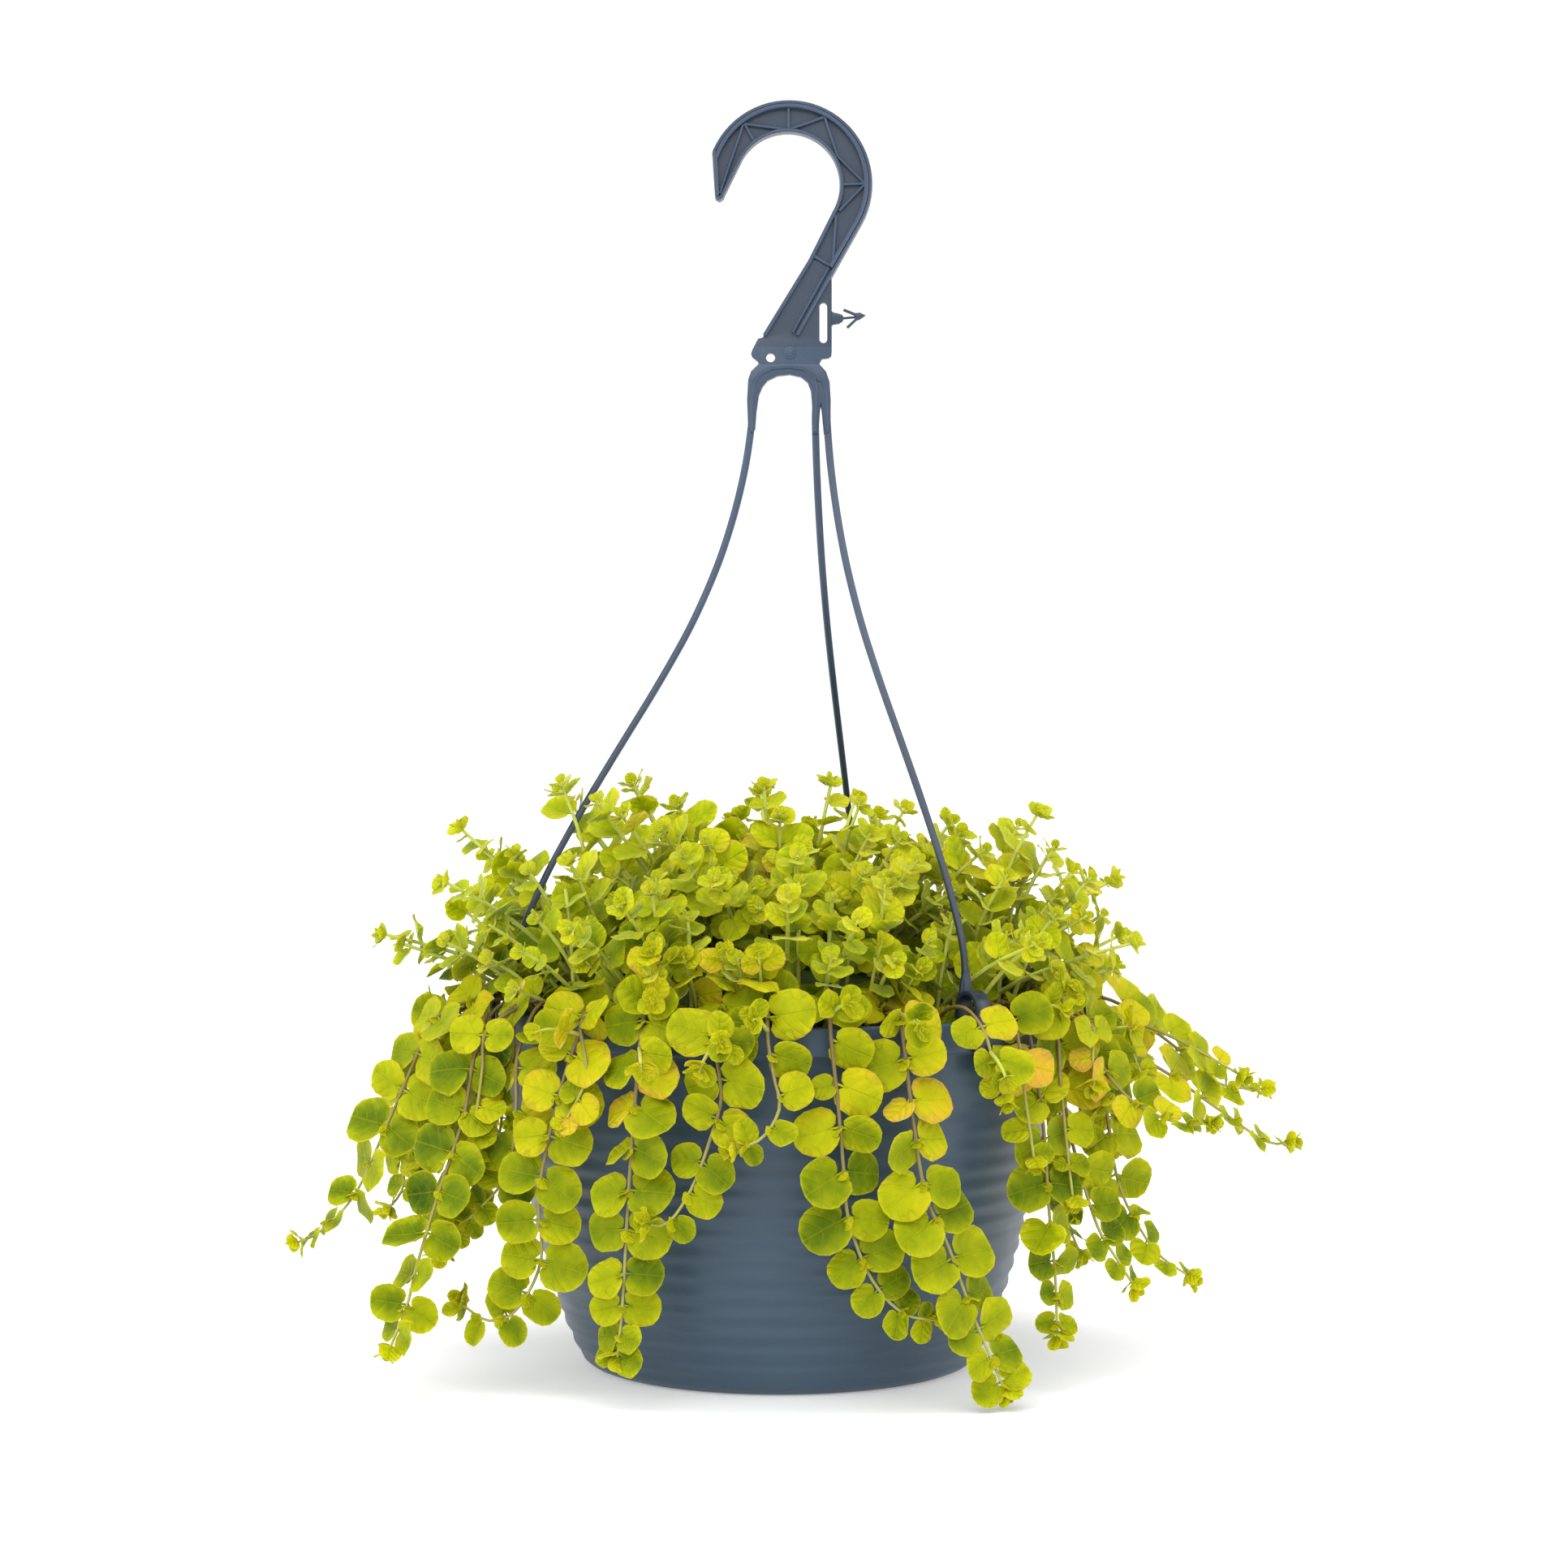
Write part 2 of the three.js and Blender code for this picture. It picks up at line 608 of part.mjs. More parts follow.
function bladePoint(leaf, x, y, offset = 0) {
  const across = leaf.axis.clone().cross(leaf.normal);
  const point = leaf.at.clone().addScaledVector(across, x * leaf.size);
  point.addScaledVector(leaf.axis, y * leaf.size);
  return point.addScaledVector(leaf.normal, LEAF_FOLD * Math.abs(x) * leaf.size + offset);
}

function stationsOf(stem, leaves) {
  const length = stem.path.getLength();
  const surface = (HOLE_DEPTH + 3) / length;
  const shares = [...new Set([0, surface, 1, ...leaves.map((leaf) => leaf.share)])].sort((a, b) => a - b);
  return shares.flatMap((share, i) => {
    const gap = (shares[i + 1] ?? share) - share;
    const bend = stem.path.getTangentAt(share).angleTo(stem.path.getTangentAt(share + gap));
    const parts = Math.max(1, Math.ceil(bend / BEND_A_RING), Math.ceil((gap * length) / RING_SPACING));
    return Array.from({ length: parts }, (_, j) => share + (gap * j) / parts);
  });
}

function growBlade(skin, leaf, diamond) {
  const lobes = bladeOf(leaf);
  const level = diamond.map((corner) => skin.points[corner].clone().sub(leaf.at).dot(leaf.normal));
  const highest = level.indexOf(Math.max(...level));
  const [top, plus, bottom, minus] = [0, 1, 2, 3].map((i) => diamond[(highest + i) % 4]);
  const tip = [1, -1].map((face) => skin.add(bladePoint(leaf, 0, 1, (face * LEAF_THICKNESS) / 2)));
  for (const side of [1, -1]) {
    const edge = lobes.map(([x, y]) =>
      [1, -1].map((face) => skin.add(bladePoint(leaf, side * x, y, (face * LEAF_THICKNESS) / 2))),
    );
    edge.push(tip);
    const root = side > 0 ? plus : minus;
    skin.face(side, top, root, edge[0][0]);
    skin.face(side, bottom, edge[0][1], root);
    skin.face(side, edge[0][0], root, edge[0][1]);
    for (let i = 1; i < edge.length; i += 1) {
      const [[upA, downA], [upB, downB]] = [edge[i - 1], edge[i]];
      skin.face(side, top, upA, upB);
      skin.face(side, bottom, downB, downA);
      skin.face(side, upB, upA, downA);
      skin.face(side, upB, downA, downB);
    }
  }
}

function newSkin() {
  const points = [];
  const faces = [];
  return {
    points,
    faces,
    add: (point) => points.push(point) - 1,
    face: (turn, a, b, c) => faces.push(...(turn > 0 ? [a, b, c] : [a, c, b])),
  };
}

function stemSolid(stem, leaves) {
  const skin = newSkin();
  const rings = [];
  let side = null;
  for (const share of stationsOf(stem, leaves)) {
    const centre = stem.path.getPointAt(share);
    const ahead = stem.path.getTangentAt(share);
    const here = leaves.filter((leaf) => leaf.share === share);
    side = here.length ? here[0].side.clone() : side ?? new THREE.Vector3(1, 0.2, 0);
    side.addScaledVector(ahead, -side.dot(ahead)).normalize();
    if (share === 1) {
      rings.push({ apex: skin.add(centre) });
      break;
    }
    const radius = STEM_RADIUS * (1 - 0.35 * share);
    const ways = [0, 1, 2, 3].map((j) => side.clone().applyAxisAngle(ahead, (j * Math.PI) / 2));
    const corners = ways.map((way) => {
      const leaf = here.find((one) => one.side.dot(way) > 0.9);
      const out = centre.clone().addScaledVector(way, radius);
      if (!leaf) {
        const plain = skin.add(out);
        return { up: plain, down: plain };
      }
      const right = ahead.clone().cross(way);
      const diamond = [[right, 1], [ahead, 1], [right, -1], [ahead, -1]].map(([along, sign]) =>
        skin.add(out.clone().addScaledVector(along, sign * PETIOLE_RADIUS)),
      );
      return { up: diamond[1], down: diamond[3], diamond, leaf };
    });
    corners.forEach(({ diamond, leaf }, j) => {
      if (diamond) {
        const [right, top, left, bottom] = diamond;
        const next = corners[(j + 1) % 4].up;
        const last = corners[(j + 3) % 4].up;
        skin.face(1, bottom, next, right);
        skin.face(1, right, next, top);
        skin.face(1, bottom, left, last);
        skin.face(1, left, top, last);
        growBlade(skin, leaf, diamond);
      }
    });
    rings.push({ corners, ways });
  }
  closeRings(skin, rings);
  const geometry = new THREE.BufferGeometry().setFromPoints(skin.points).setIndex(skin.faces);
  return solidOf(geometry);
}

function closeRings(skin, rings) {
  const foot = rings[0].corners.map((corner) => corner.down);
  skin.face(1, foot[0], foot[3], foot[2]);
  skin.face(1, foot[0], foot[2], foot[1]);
  for (let i = 1; i < rings.length; i += 1) {
    const { corners, ways } = rings[i - 1];
    const next = rings[i];
    const turns = next.ways ? next.ways.map((way) => way.dot(ways[0])) : [1];
    const shift = turns.indexOf(Math.max(...turns));
    for (let j = 0; j < 4; j += 1) {
      const a = corners[j].up;
      const b = corners[(j + 1) % 4].up;
      if (next.corners) {
        const c = next.corners[(j + 1 + shift) % 4].down;
        const d = next.corners[(j + shift) % 4].down;
        skin.face(1, a, b, c);
        skin.face(1, a, c, d);
      } else {
        skin.face(1, a, b, next.apex);
      }
    }
  }
}

function makeStems() {
  const hanging = { bare: 14, taper: 55, leaf: LEAF_LENGTH, spacing: PAIR_SPACING, upright: 0 };
  const standing = { taper: 40, leaf: SHOOT_LEAF, spacing: SHOOT_SPACING, upright: 1 };
  const strands = STRANDS.map((route, index) => ({
    ...hanging,
    name: "strand_" + String(index + 1).padStart(2, "0"),
    path: strandRoute(route, index),
    seed: 101 + 37 * index,
  }));
  const arching = ARCHING.map((tip, index) => ({
    ...standing,
    bare: 22,
    name: "shoot_" + String(index + 1).padStart(2, "0"),
    path: archingRoute(tip, index),
    seed: 2003 + 41 * index,
  }));
  const upright = UPRIGHT.map((tip, index) => ({
    ...standing,
    bare: 16,
    name: "crown",
    core: true,
    path: uprightRoute(tip),
    seed: 5009 + 43 * index,
  }));
  return [...strands, ...arching, ...upright];
}

// The core of the crown, rooted in the middle of the soil
function makeCore() {
  const base = SOIL_TOP + SOIL_GAP;
  const rootFoot = base - ROOT_DEPTH;
  const profile = [[0, rootFoot], [ROOT_RADIUS - SOIL_GAP, rootFoot], [ROOT_RADIUS - SOIL_GAP, base]];
  for (const angle of [0, 12, 38, 64]) {
    const inset = angle ? 0 : 3;
    const rise = CORE_HEIGHT * Math.sin(radians(angle));
    profile.push([CORE_RADIUS * Math.cos(radians(angle)) - inset, base + rise]);
  }
  profile.push([0, base + CORE_HEIGHT]);
  return solidOf(turned(profile, 12));
}

// Leaves that stand out of the core all over, set out as a sunflower's seeds are
const CORE = { core: true, name: "crown" };

function coreLeaves() {
  const draw = drawer(7001);
  return Array.from({ length: CORE_LEAVES }, (_, i) => {
    const radius = CORE_RADIUS * 0.97 * Math.sqrt((i + 0.5) / CORE_LEAVES);
    const at = place(137.5 * i, radius, coreTop(radius) - 4.5);
    const outward = new THREE.Vector3(at.x, at.y, 0).normalize();
    const slope = (CORE_HEIGHT / CORE_RADIUS) ** 2;
    const steep = new THREE.Vector3(outward.x * radius * slope, outward.y * radius * slope, at.z - SOIL_TOP);
    const ahead = steep.normalize();
    const side = outward.clone().addScaledVector(ahead, -outward.dot(ahead)).normalize();
    side.applyAxisAngle(ahead, radians((draw() - 0.5) * 150));
    return {
      stem: CORE,
      pair: 2 * i,
      share: 0,
      at,
      ahead,
      side,
      light: ahead,
      size: LEAF_LENGTH * (0.9 + 0.2 * draw()),
      lift: radians(42 + 20 * draw()),
      roll: radians((draw() - 0.5) * 40),
    };
  });
}

// A leaf by itself, its foot inside the core
function looseLeaf(leaf) {
  const skin = newSkin();
  const right = leaf.axis.clone().cross(leaf.normal);
  const diamond = [[right, 1], [leaf.normal, 1], [right, -1], [leaf.normal, -1]].map(([along, sign]) =>
    skin.add(leaf.at.clone().addScaledVector(along, sign * PETIOLE_RADIUS)),
  );
  growBlade(skin, leaf, [diamond[2], diamond[1], diamond[0], diamond[3]]);
  skin.face(1, diamond[0], diamond[1], diamond[2]);
  skin.face(1, diamond[0], diamond[2], diamond[3]);
  return solidOf(new THREE.BufferGeometry().setFromPoints(skin.points).setIndex(skin.faces));
}

function makeSoil(stems) {
  const wall = potInside(SOIL_GAP, SOIL_TOP).reverse();
  const rootFoot = SOIL_TOP - ROOT_DEPTH;
  const profile = [[0, FLOOR + SOIL_GAP], ...wall, [ROOT_RADIUS, SOIL_TOP], [ROOT_RADIUS, rootFoot]];
  profile.push([0, rootFoot]);
  let soil = solidOf(turned(profile));
  for (const stem of stems.filter((one) => !one.core)) {
    const foot = stem.path.getPoint(0);
    const drill = new THREE.CylinderGeometry(HOLE_RADIUS, HOLE_RADIUS, 2 * HOLE_DEPTH, 5);
    drill.rotateX(Math.PI / 2).translate(foot.x, foot.y, SOIL_TOP);
    soil = soil.subtract(solidOf(drill));
  }
  return soil;
}

// The whole part

const POT_FINISH = { color: 0x46586a, roughness: 0.45, metalness: 0 };
const HANGER_FINISH = { color: 0x3f5060, roughness: 0.35, metalness: 0 };
const SOIL_FINISH = { color: 0x2a211a, roughness: 1, metalness: 0 };
const LEAF_FINISH = { color: 0xb4c423, roughness: 0.5, metalness: 0 };

const part = new THREE.Group();

function addMesh(name, made, finish) {
  const mesh = new THREE.Mesh(geometryOf(made), new THREE.MeshStandardMaterial(finish));
  mesh.name = name;
  part.add(mesh);
}

const stems = makeStems();

// Every leaf finds its place, and the faceted solids carry every second pair of the larger ones
const placed = settle(stems, [...stems.flatMap(leavesOf), ...coreLeaves()]);
const shown = placed.filter((leaf) => leaf.pair % 2 === 0 && leaf.size > LEAST_SHOWN);

addMesh("pot", makePot(), POT_FINISH);
addMesh("hanger", makeHanger(), HANGER_FINISH);
addMesh("soil", makeSoil(stems), SOIL_FINISH);
const crown = [makeCore(), ...shown.filter((leaf) => leaf.stem === CORE).map(looseLeaf)];
for (const stem of stems) {
  const made = stemSolid(stem, shown.filter((leaf) => leaf.stem === stem));
  if (stem.core) {
    crown.push(made);
  } else {
    addMesh(stem.name, made, LEAF_FINISH);
  }
}
addMesh("crown", joined(crown), LEAF_FINISH);

export default part;
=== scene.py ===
# %% [markdown]
# # A potted creeping jenny
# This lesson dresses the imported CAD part: a trailing plant with round lime-yellow leaves in a slate
# blue moulded pot, with a moulded hanger clipped over its rim. Lengths are in millimetres here,
# because the part was drawn in them, and are turned into metres where a mesh is made. +Z is up and
# the front faces -Y. A place on the plant is an azimuth in degrees (0 is the front, 90 is +X), a
# radius and a height.

# %% Load the frame
import json
import math

import bmesh
import bpy
import numpy as np
from mathutils import Matrix, Vector

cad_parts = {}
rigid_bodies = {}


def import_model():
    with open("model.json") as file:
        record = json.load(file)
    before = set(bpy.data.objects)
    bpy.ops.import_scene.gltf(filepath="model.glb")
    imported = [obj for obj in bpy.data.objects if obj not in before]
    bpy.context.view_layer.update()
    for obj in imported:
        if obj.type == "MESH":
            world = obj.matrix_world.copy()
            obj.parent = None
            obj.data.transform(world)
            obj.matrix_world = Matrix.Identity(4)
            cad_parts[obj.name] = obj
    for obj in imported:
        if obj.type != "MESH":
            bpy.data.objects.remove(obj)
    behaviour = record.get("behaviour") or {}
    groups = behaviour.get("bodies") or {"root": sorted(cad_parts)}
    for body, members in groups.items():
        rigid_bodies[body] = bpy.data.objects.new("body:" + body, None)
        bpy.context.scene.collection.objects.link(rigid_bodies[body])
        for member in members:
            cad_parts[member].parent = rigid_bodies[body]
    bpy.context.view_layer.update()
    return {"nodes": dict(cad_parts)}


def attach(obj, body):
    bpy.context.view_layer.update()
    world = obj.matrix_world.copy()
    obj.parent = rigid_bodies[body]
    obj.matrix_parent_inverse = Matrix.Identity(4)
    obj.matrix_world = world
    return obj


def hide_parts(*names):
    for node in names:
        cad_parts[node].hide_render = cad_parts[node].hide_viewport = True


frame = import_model()
MM = 0.001
print("CAD nodes:", len(frame["nodes"]))

# %% [markdown]
# ## Helpers for meshes
# Most pieces here are turned or swept, which a few lines of mesh code do better than a modifier:
# the profile stays a list of numbers that can be read against a drawing.

# %% A mesh object, from points in millimetres
def linked(name, mesh):
    piece = bpy.data.objects.new(name, mesh)
    bpy.context.collection.objects.link(piece)
    return piece


def add_piece(name, points, faces, material=None):
    mesh = bpy.data.meshes.new(name)
    mesh.from_pydata([tuple(MM * v for v in point) for point in points], [], faces)
    if material:
        mesh.materials.append(material)
    mesh.polygons.foreach_set("use_smooth", [True] * len(mesh.polygons))
    return linked(name, mesh)


def triangles_of(piece):
    return sum(len(face.vertices) - 2 for face in piece.data.polygons)


def place(azimuth, radius, height):
    angle = math.radians(azimuth)
    return np.array([radius * math.sin(angle), -radius * math.cos(angle), height])


# %% A profile of radii and heights turned about the vertical axis
def turned(profile, sides):
    points, faces, rings = [], [], []
    for radius, height in profile:
        if radius < 1e-6:
            rings.append([len(points)] * sides)
            points.append((0, 0, height))
            continue
        rings.append(list(range(len(points), len(points) + sides)))
        points += [tuple(place(360 * i / sides, radius, height)) for i in range(sides)]
    for lower, upper in zip(rings, rings[1:]):
        for i in range(sides):
            j = (i + 1) % sides
            corners = [lower[i], lower[j], upper[j], upper[i]]
            faces.append(list(dict.fromkeys(corners)))
    return points, faces


# %% [markdown]
# ## Helpers for materials
# Every finish is a small node tree on a Principled shader. What is the same all over is set on the
# shader's own socket, and only what varies comes from nodes.

# %% A node tree with a short call for each kind of node
class Tree:
    def __init__(self, tree):
        self.tree, self.shader = tree, tree.nodes.get("Principled BSDF")

    def feed(self, socket, value):
        """A socket takes a wire or a plain value."""
        if isinstance(value, bpy.types.NodeSocket):
            self.tree.links.new(value, socket)
        else:
            socket.default_value = value

    def node(self, kind, inputs=None, **settings):
        made = self.tree.nodes.new(kind)
        for setting, value in settings.items():
            setattr(made, setting, value)
        for socket, value in (inputs or {}).items():
            self.feed(made.inputs[socket], value)
        return made

    def add(self, kind, inputs=None, **settings):
        """Adds a node and returns its first output."""
        return [s for s in self.node(kind, inputs, **settings).outputs if s.enabled][0]

    def math(self, operation, first, second=0.0, third=0.0):
        inputs = {0: first, 1: second, 2: third}
        return self.add("ShaderNodeMath", inputs, operation=operation)

    def times(self, first, second, plus=None):
        if plus is None:
            return self.math("MULTIPLY", first, second)
        return self.math("MULTIPLY_ADD", first, second, plus)

    def ramp(self, factor, stops):
        made = self.node("ShaderNodeValToRGB", {"Fac": factor})
        elements = made.color_ramp.elements
        while len(elements) < len(stops):
            elements.new(0.5)
        for element, (position, colour) in zip(elements, stops):
            element.position, element.color = position, (*colour, 1)
        return made.outputs["Color"]

    def mix(self, factor, first, second):
        made = self.node("ShaderNodeMix", data_type="RGBA")
        slots = {s.name: s for s in made.inputs if s.enabled}
        for name, value in (("Factor", factor), ("A", first), ("B", second)):
            self.feed(slots[name], value)
        return [s for s in made.outputs if s.enabled][0]

    def spread(self, value, source, target):
        """Maps a value from one range to another."""
        names = ("Value", "From Min", "From Max", "To Min", "To Max")
        return self.add("ShaderNodeMapRange", dict(zip(names, (value, *source, *target))))

    def split(self, vector):
        return self.node("ShaderNodeSeparateXYZ", {"Vector": vector}).outputs

    def place(self, kind="Object"):
        return self.node("ShaderNodeTexCoord").outputs[kind]

    def noise(self, scale, detail, stretch=(1, 1, 1)):
        mapped = self.add("ShaderNodeMapping", {"Vector": self.place(), "Scale": stretch})
        return self.add("ShaderNodeTexNoise", {"Vector": mapped, "Scale": scale, "Detail": detail})

    def attribute(self, name):
        return self.node("ShaderNodeAttribute", attribute_name=name).outputs["Fac"]

    def coat(self, colour, height=None, strength=1.0, distance=0.001):
        """Gives the shader its colour and, where there is a height, its bump."""
        self.feed(self.shader.inputs["Base Color"], colour)
        if height:
            inputs = {"Height": height, "Strength": strength, "Distance": distance}
            self.feed(self.shader.inputs["Normal"], self.add("ShaderNodeBump", inputs))


def new_finish(name, **sockets):
    made = bpy.data.materials.new(name)
    made.use_nodes = True
    tree = Tree(made.node_tree)
    for socket, value in sockets.items():
        tree.shader.inputs[socket.replace("_", " ")].default_value = value
    return made, tree


def grainy(name, grain, stops, bump=None, **sockets):
    """A finish whose colour and bump are noise: the scale and detail of each, and for the bump
    its strength and distance too."""
    made, tree = new_finish(name, **sockets)
    height = (tree.noise(*bump[:2]), *bump[2:]) if bump else ()
    tree.coat(tree.ramp(tree.noise(*grain), stops), *height)
    return made


print("helpers ready")

# %% [markdown]
# ## The moulded plastic
# The pot is a satin slate blue with a faint grain from the mould, a little mottled where the plastic
# flowed. The hanger is the same plastic with a smoother face. Noise at three scales gives the mottle, the
# grain and the uneven shine.

# %% Pot and hanger plastic
# Painted shade for the hanger: a dark colour laid into the hollows of its hook's web, and its legs painted
# darker towards the leaves below
HOLLOW_SHADE_COLOUR, HOLLOW_SHADE_SHARE = (0.018, 0.032, 0.058, 1), 0.72
LEG_SHADE_HEIGHTS, LEG_SHADE_DEEPEST = (0.2, 0.36), 0.46


def shaded(tree, colour, low, depth):
    """Paints shade on the hanger: the legs darken towards the leaves, and above a height the hollows of the
    web stay dark.
    """
    _, y, z = tree.split(tree.place())
    inputs = {0: colour, "Scale": tree.spread(z, LEG_SHADE_HEIGHTS, (LEG_SHADE_DEEPEST, 1.0))}
    colour = tree.add("ShaderNodeVectorMath", inputs, operation="SCALE")
    # The hollows of the web, above a height, get the painted shade
    shallow = tree.math("LESS_THAN", tree.math("ABSOLUTE", y), depth)
    hollow = tree.times(shallow, tree.math("GREATER_THAN", z, low))
    return tree.mix(tree.times(hollow, HOLLOW_SHADE_SHARE), colour, HOLLOW_SHADE_COLOUR)


def plastic(name, dark, light, rough, grain, hollows=None):
    """hollows is the height that the painted shade in the hollows starts at and half the depth of the web
    in them.
    """
    made, tree = new_finish(name, Specular_IOR_Level=0.5)
    blend = tree.times(tree.noise(9, 3, (1, 1, 6)), 0.45, tree.times(tree.noise(18, 4), 0.55))
    colour = tree.ramp(blend, [(0.3, dark), (0.7, light)])
    if hollows:
        colour = shaded(tree, colour, *hollows)
    shine = tree.times(tree.noise(60, 3), 0.16, rough - 0.08)
    tree.feed(tree.shader.inputs["Roughness"], shine)
    tree.coat(colour, tree.noise(1400, 3), grain, 0.0002)
    return made


POT_PLASTIC = plastic("slate_plastic", (0.0235, 0.052, 0.086), (0.0355, 0.0695, 0.107), 0.42, 0.35)
HANGER_PLASTIC = plastic("smooth_slate_plastic", (0.024, 0.045, 0.082), (0.039, 0.066, 0.112),
                         0.34, 0.12, (0.445, 0.0018))
print("plastic ready")

# %% [markdown]
# ## The pot
# One moulded shell. Its wall leans out from a rounded foot, carries soft ribs that fade towards the
# top, and ends in a plain rim band. The profile could be drawn by hand, but the ribs follow a rule,
# so the wall is a smooth curve plus a cosine, and the whole is turned about the axis.

# %% The pot's sizes
RIM_RADIUS, RIM_TOP, RIM_BAND, WALL, FLOOR = 125.0, 155.5, 12.5, 2.0, 4.0
FOOT_RADIUS, PAD_RADIUS, RECESS = 79.5, 23.0, 2.0
WALL_CURVE = [(86, 3), (92.4, 15), (102.6, 46), (110, 74), (116, 106), (121.2, 143)]
RIB_PITCH, RIB_FIRST, RIB_HEIGHT, RIBS_FADE_FROM, RIBS_FADE_TO = 8.33, 10.1, 1.0, 80.0, 128.0
POT_SIDES = 112
WALL_FIT = np.polyfit([z for _, z in WALL_CURVE], [r for r, _ in WALL_CURVE], 4)


def wall_radius(height):
    """The faceted part's wall, straight between its measured points."""
    heights = [z for _, z in WALL_CURVE]
    if height > heights[-1]:
        return RIM_RADIUS
    return float(np.interp(height, heights, [r for r, _ in WALL_CURVE]))


def ribbed_radius(height):
    fade = np.clip((RIBS_FADE_TO - height) / (RIBS_FADE_TO - RIBS_FADE_FROM), 0.25, 1)
    start = np.clip((height - 4) / 5, 0, 1)
    wave = math.cos(2 * math.pi * (height - RIB_FIRST) / RIB_PITCH)
    return float(np.polyval(WALL_FIT, height) + 0.5 * RIB_HEIGHT * fade * start * wave)


# %% The pot's profile, from the pad underneath, up the outside and down the inside
def pot_profile():
    top = RIM_TOP - RIM_BAND
    under = [(0, 0), (PAD_RADIUS, 0), (PAD_RADIUS + 0.4, 0.3), (PAD_RADIUS + 1, RECESS)]
    under += [(FOOT_RADIUS - 5, RECESS), (FOOT_RADIUS - 4.4, 0.3), (FOOT_RADIUS - 4, 0)]
    foot = [(FOOT_RADIUS, 0), (81.6, 0.3), (83.6, 1.1), (85, 2.1)]
    wall = [(ribbed_radius(z), z) for z in np.arange(3.2, top - 1.4, 1.04)]
    reach = ribbed_radius(top)
    rim = [(reach, top - 0.6), (reach + 0.5, top - 0.1), (RIM_RADIUS - 1, top + 0.1)]
    rim += [(RIM_RADIUS - 0.3, top + 0.5), (RIM_RADIUS, top + 1.2), (RIM_RADIUS, top + 6)]
    rim += [(RIM_RADIUS, RIM_TOP - 1.2), (RIM_RADIUS - 0.25, RIM_TOP - 0.4)]
    rim += [(RIM_RADIUS - 0.8, RIM_TOP), (RIM_RADIUS - WALL + 0.6, RIM_TOP)]
    rim += [(RIM_RADIUS - WALL, RIM_TOP - 0.6)]
    inner = [(RIM_RADIUS - WALL, top + 1)]
    heights = (143, 125, 106, 90, 74, 60, 46, 30, 15)
    inner += [(float(np.polyval(WALL_FIT, z)) - WALL - 0.6, z) for z in heights]
    inner += [(wall_radius(3) - WALL, FLOOR + 2), (FOOT_RADIUS, FLOOR), (0, FLOOR)]
    return under + foot + wall + rim + inner


pot = add_piece("pot_shell", *turned(pot_profile(), POT_SIDES), POT_PLASTIC)
print("pot rows:", len(pot_profile()))

# %% Booleans, and the drain holes through the floor
DRAIN_HOLES, DRAIN_RADIUS, DRAIN_CIRCLE = 8, 3.5, 56.0


def settle_modifiers(piece):
    """Replaces a piece's mesh with what its modifiers make of it."""
    graph = bpy.context.evaluated_depsgraph_get()
    made = bpy.data.meshes.new_from_object(piece.evaluated_get(graph))
    piece.modifiers.clear()
    piece.data = made


def boolean(base, tools, operation, solver="MANIFOLD"):
    """Joins the tools to a piece, or cuts them out of it."""
    together = bpy.data.collections.new("tools")
    bpy.context.scene.collection.children.link(together)
    for tool in tools:
        bpy.context.collection.objects.unlink(tool)
        together.objects.link(tool)
    modifier = base.modifiers.new("joined", "BOOLEAN")
    modifier.operand_type, modifier.collection = "COLLECTION", together
    modifier.operation, modifier.solver = operation, solver
    settle_modifiers(base)
    for tool in tools:
        bpy.data.objects.remove(tool)
    bpy.data.collections.remove(together)


pin, pin_faces = turned([(0, -4), (DRAIN_RADIUS, -4), (DRAIN_RADIUS, 10), (0, 10)], 24)
drill_points, drill_faces = [], []
for hole in range(DRAIN_HOLES):
    middle = place(360 * (hole + 0.5) / DRAIN_HOLES, DRAIN_CIRCLE, 0)
    drill_faces += [[corner + len(drill_points) for corner in face] for face in pin_faces]
    drill_points += [point + middle for point in pin]
boolean(pot, [add_piece("drill", drill_points, drill_faces)], "DIFFERENCE", "EXACT")
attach(pot, "root")
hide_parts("pot")
print("pot triangles:", triangles_of(pot))

# %% [markdown]
# ## The hanger
# The real one is a single moulding: a hook with thin walls and truss ribs on a web, a flat plate, a
# bridge arch and three whip-like legs that end in clips. Each of these is made as its own closed
# form with softened edges, sunk into its neighbours, and one Boolean union joins them.

# %% A flat plate with softened edges, and a strip that follows a line
def plate(outline, depth, soften=0.35):
    mesh = bmesh.new()
    face = mesh.faces.new([mesh.verts.new((x, -depth / 2, z)) for x, z in outline])
    grown = bmesh.ops.extrude_face_region(mesh, geom=[face])
    moved = [item for item in grown["geom"] if isinstance(item, bmesh.types.BMVert)]
    bmesh.ops.translate(mesh, verts=moved, vec=(0, depth, 0))
    bmesh.ops.recalc_face_normals(mesh, faces=mesh.faces)
    rims = [edge for edge in mesh.edges if abs(edge.verts[0].co.y - edge.verts[1].co.y) < 1e-6]
    if soften:
        bmesh.ops.bevel(mesh, geom=rims, offset=soften, segments=2, profile=0.5, affect="EDGES")
    return mesh


def join(mesh, name):
    """Turns a bmesh in millimetres into an object."""
    mesh.normal_update()
    data = bpy.data.meshes.new(name)
    bmesh.ops.scale(mesh, vec=(MM, MM, MM), verts=mesh.verts)
    mesh.to_mesh(data)
    mesh.free()
    return linked(name, data)


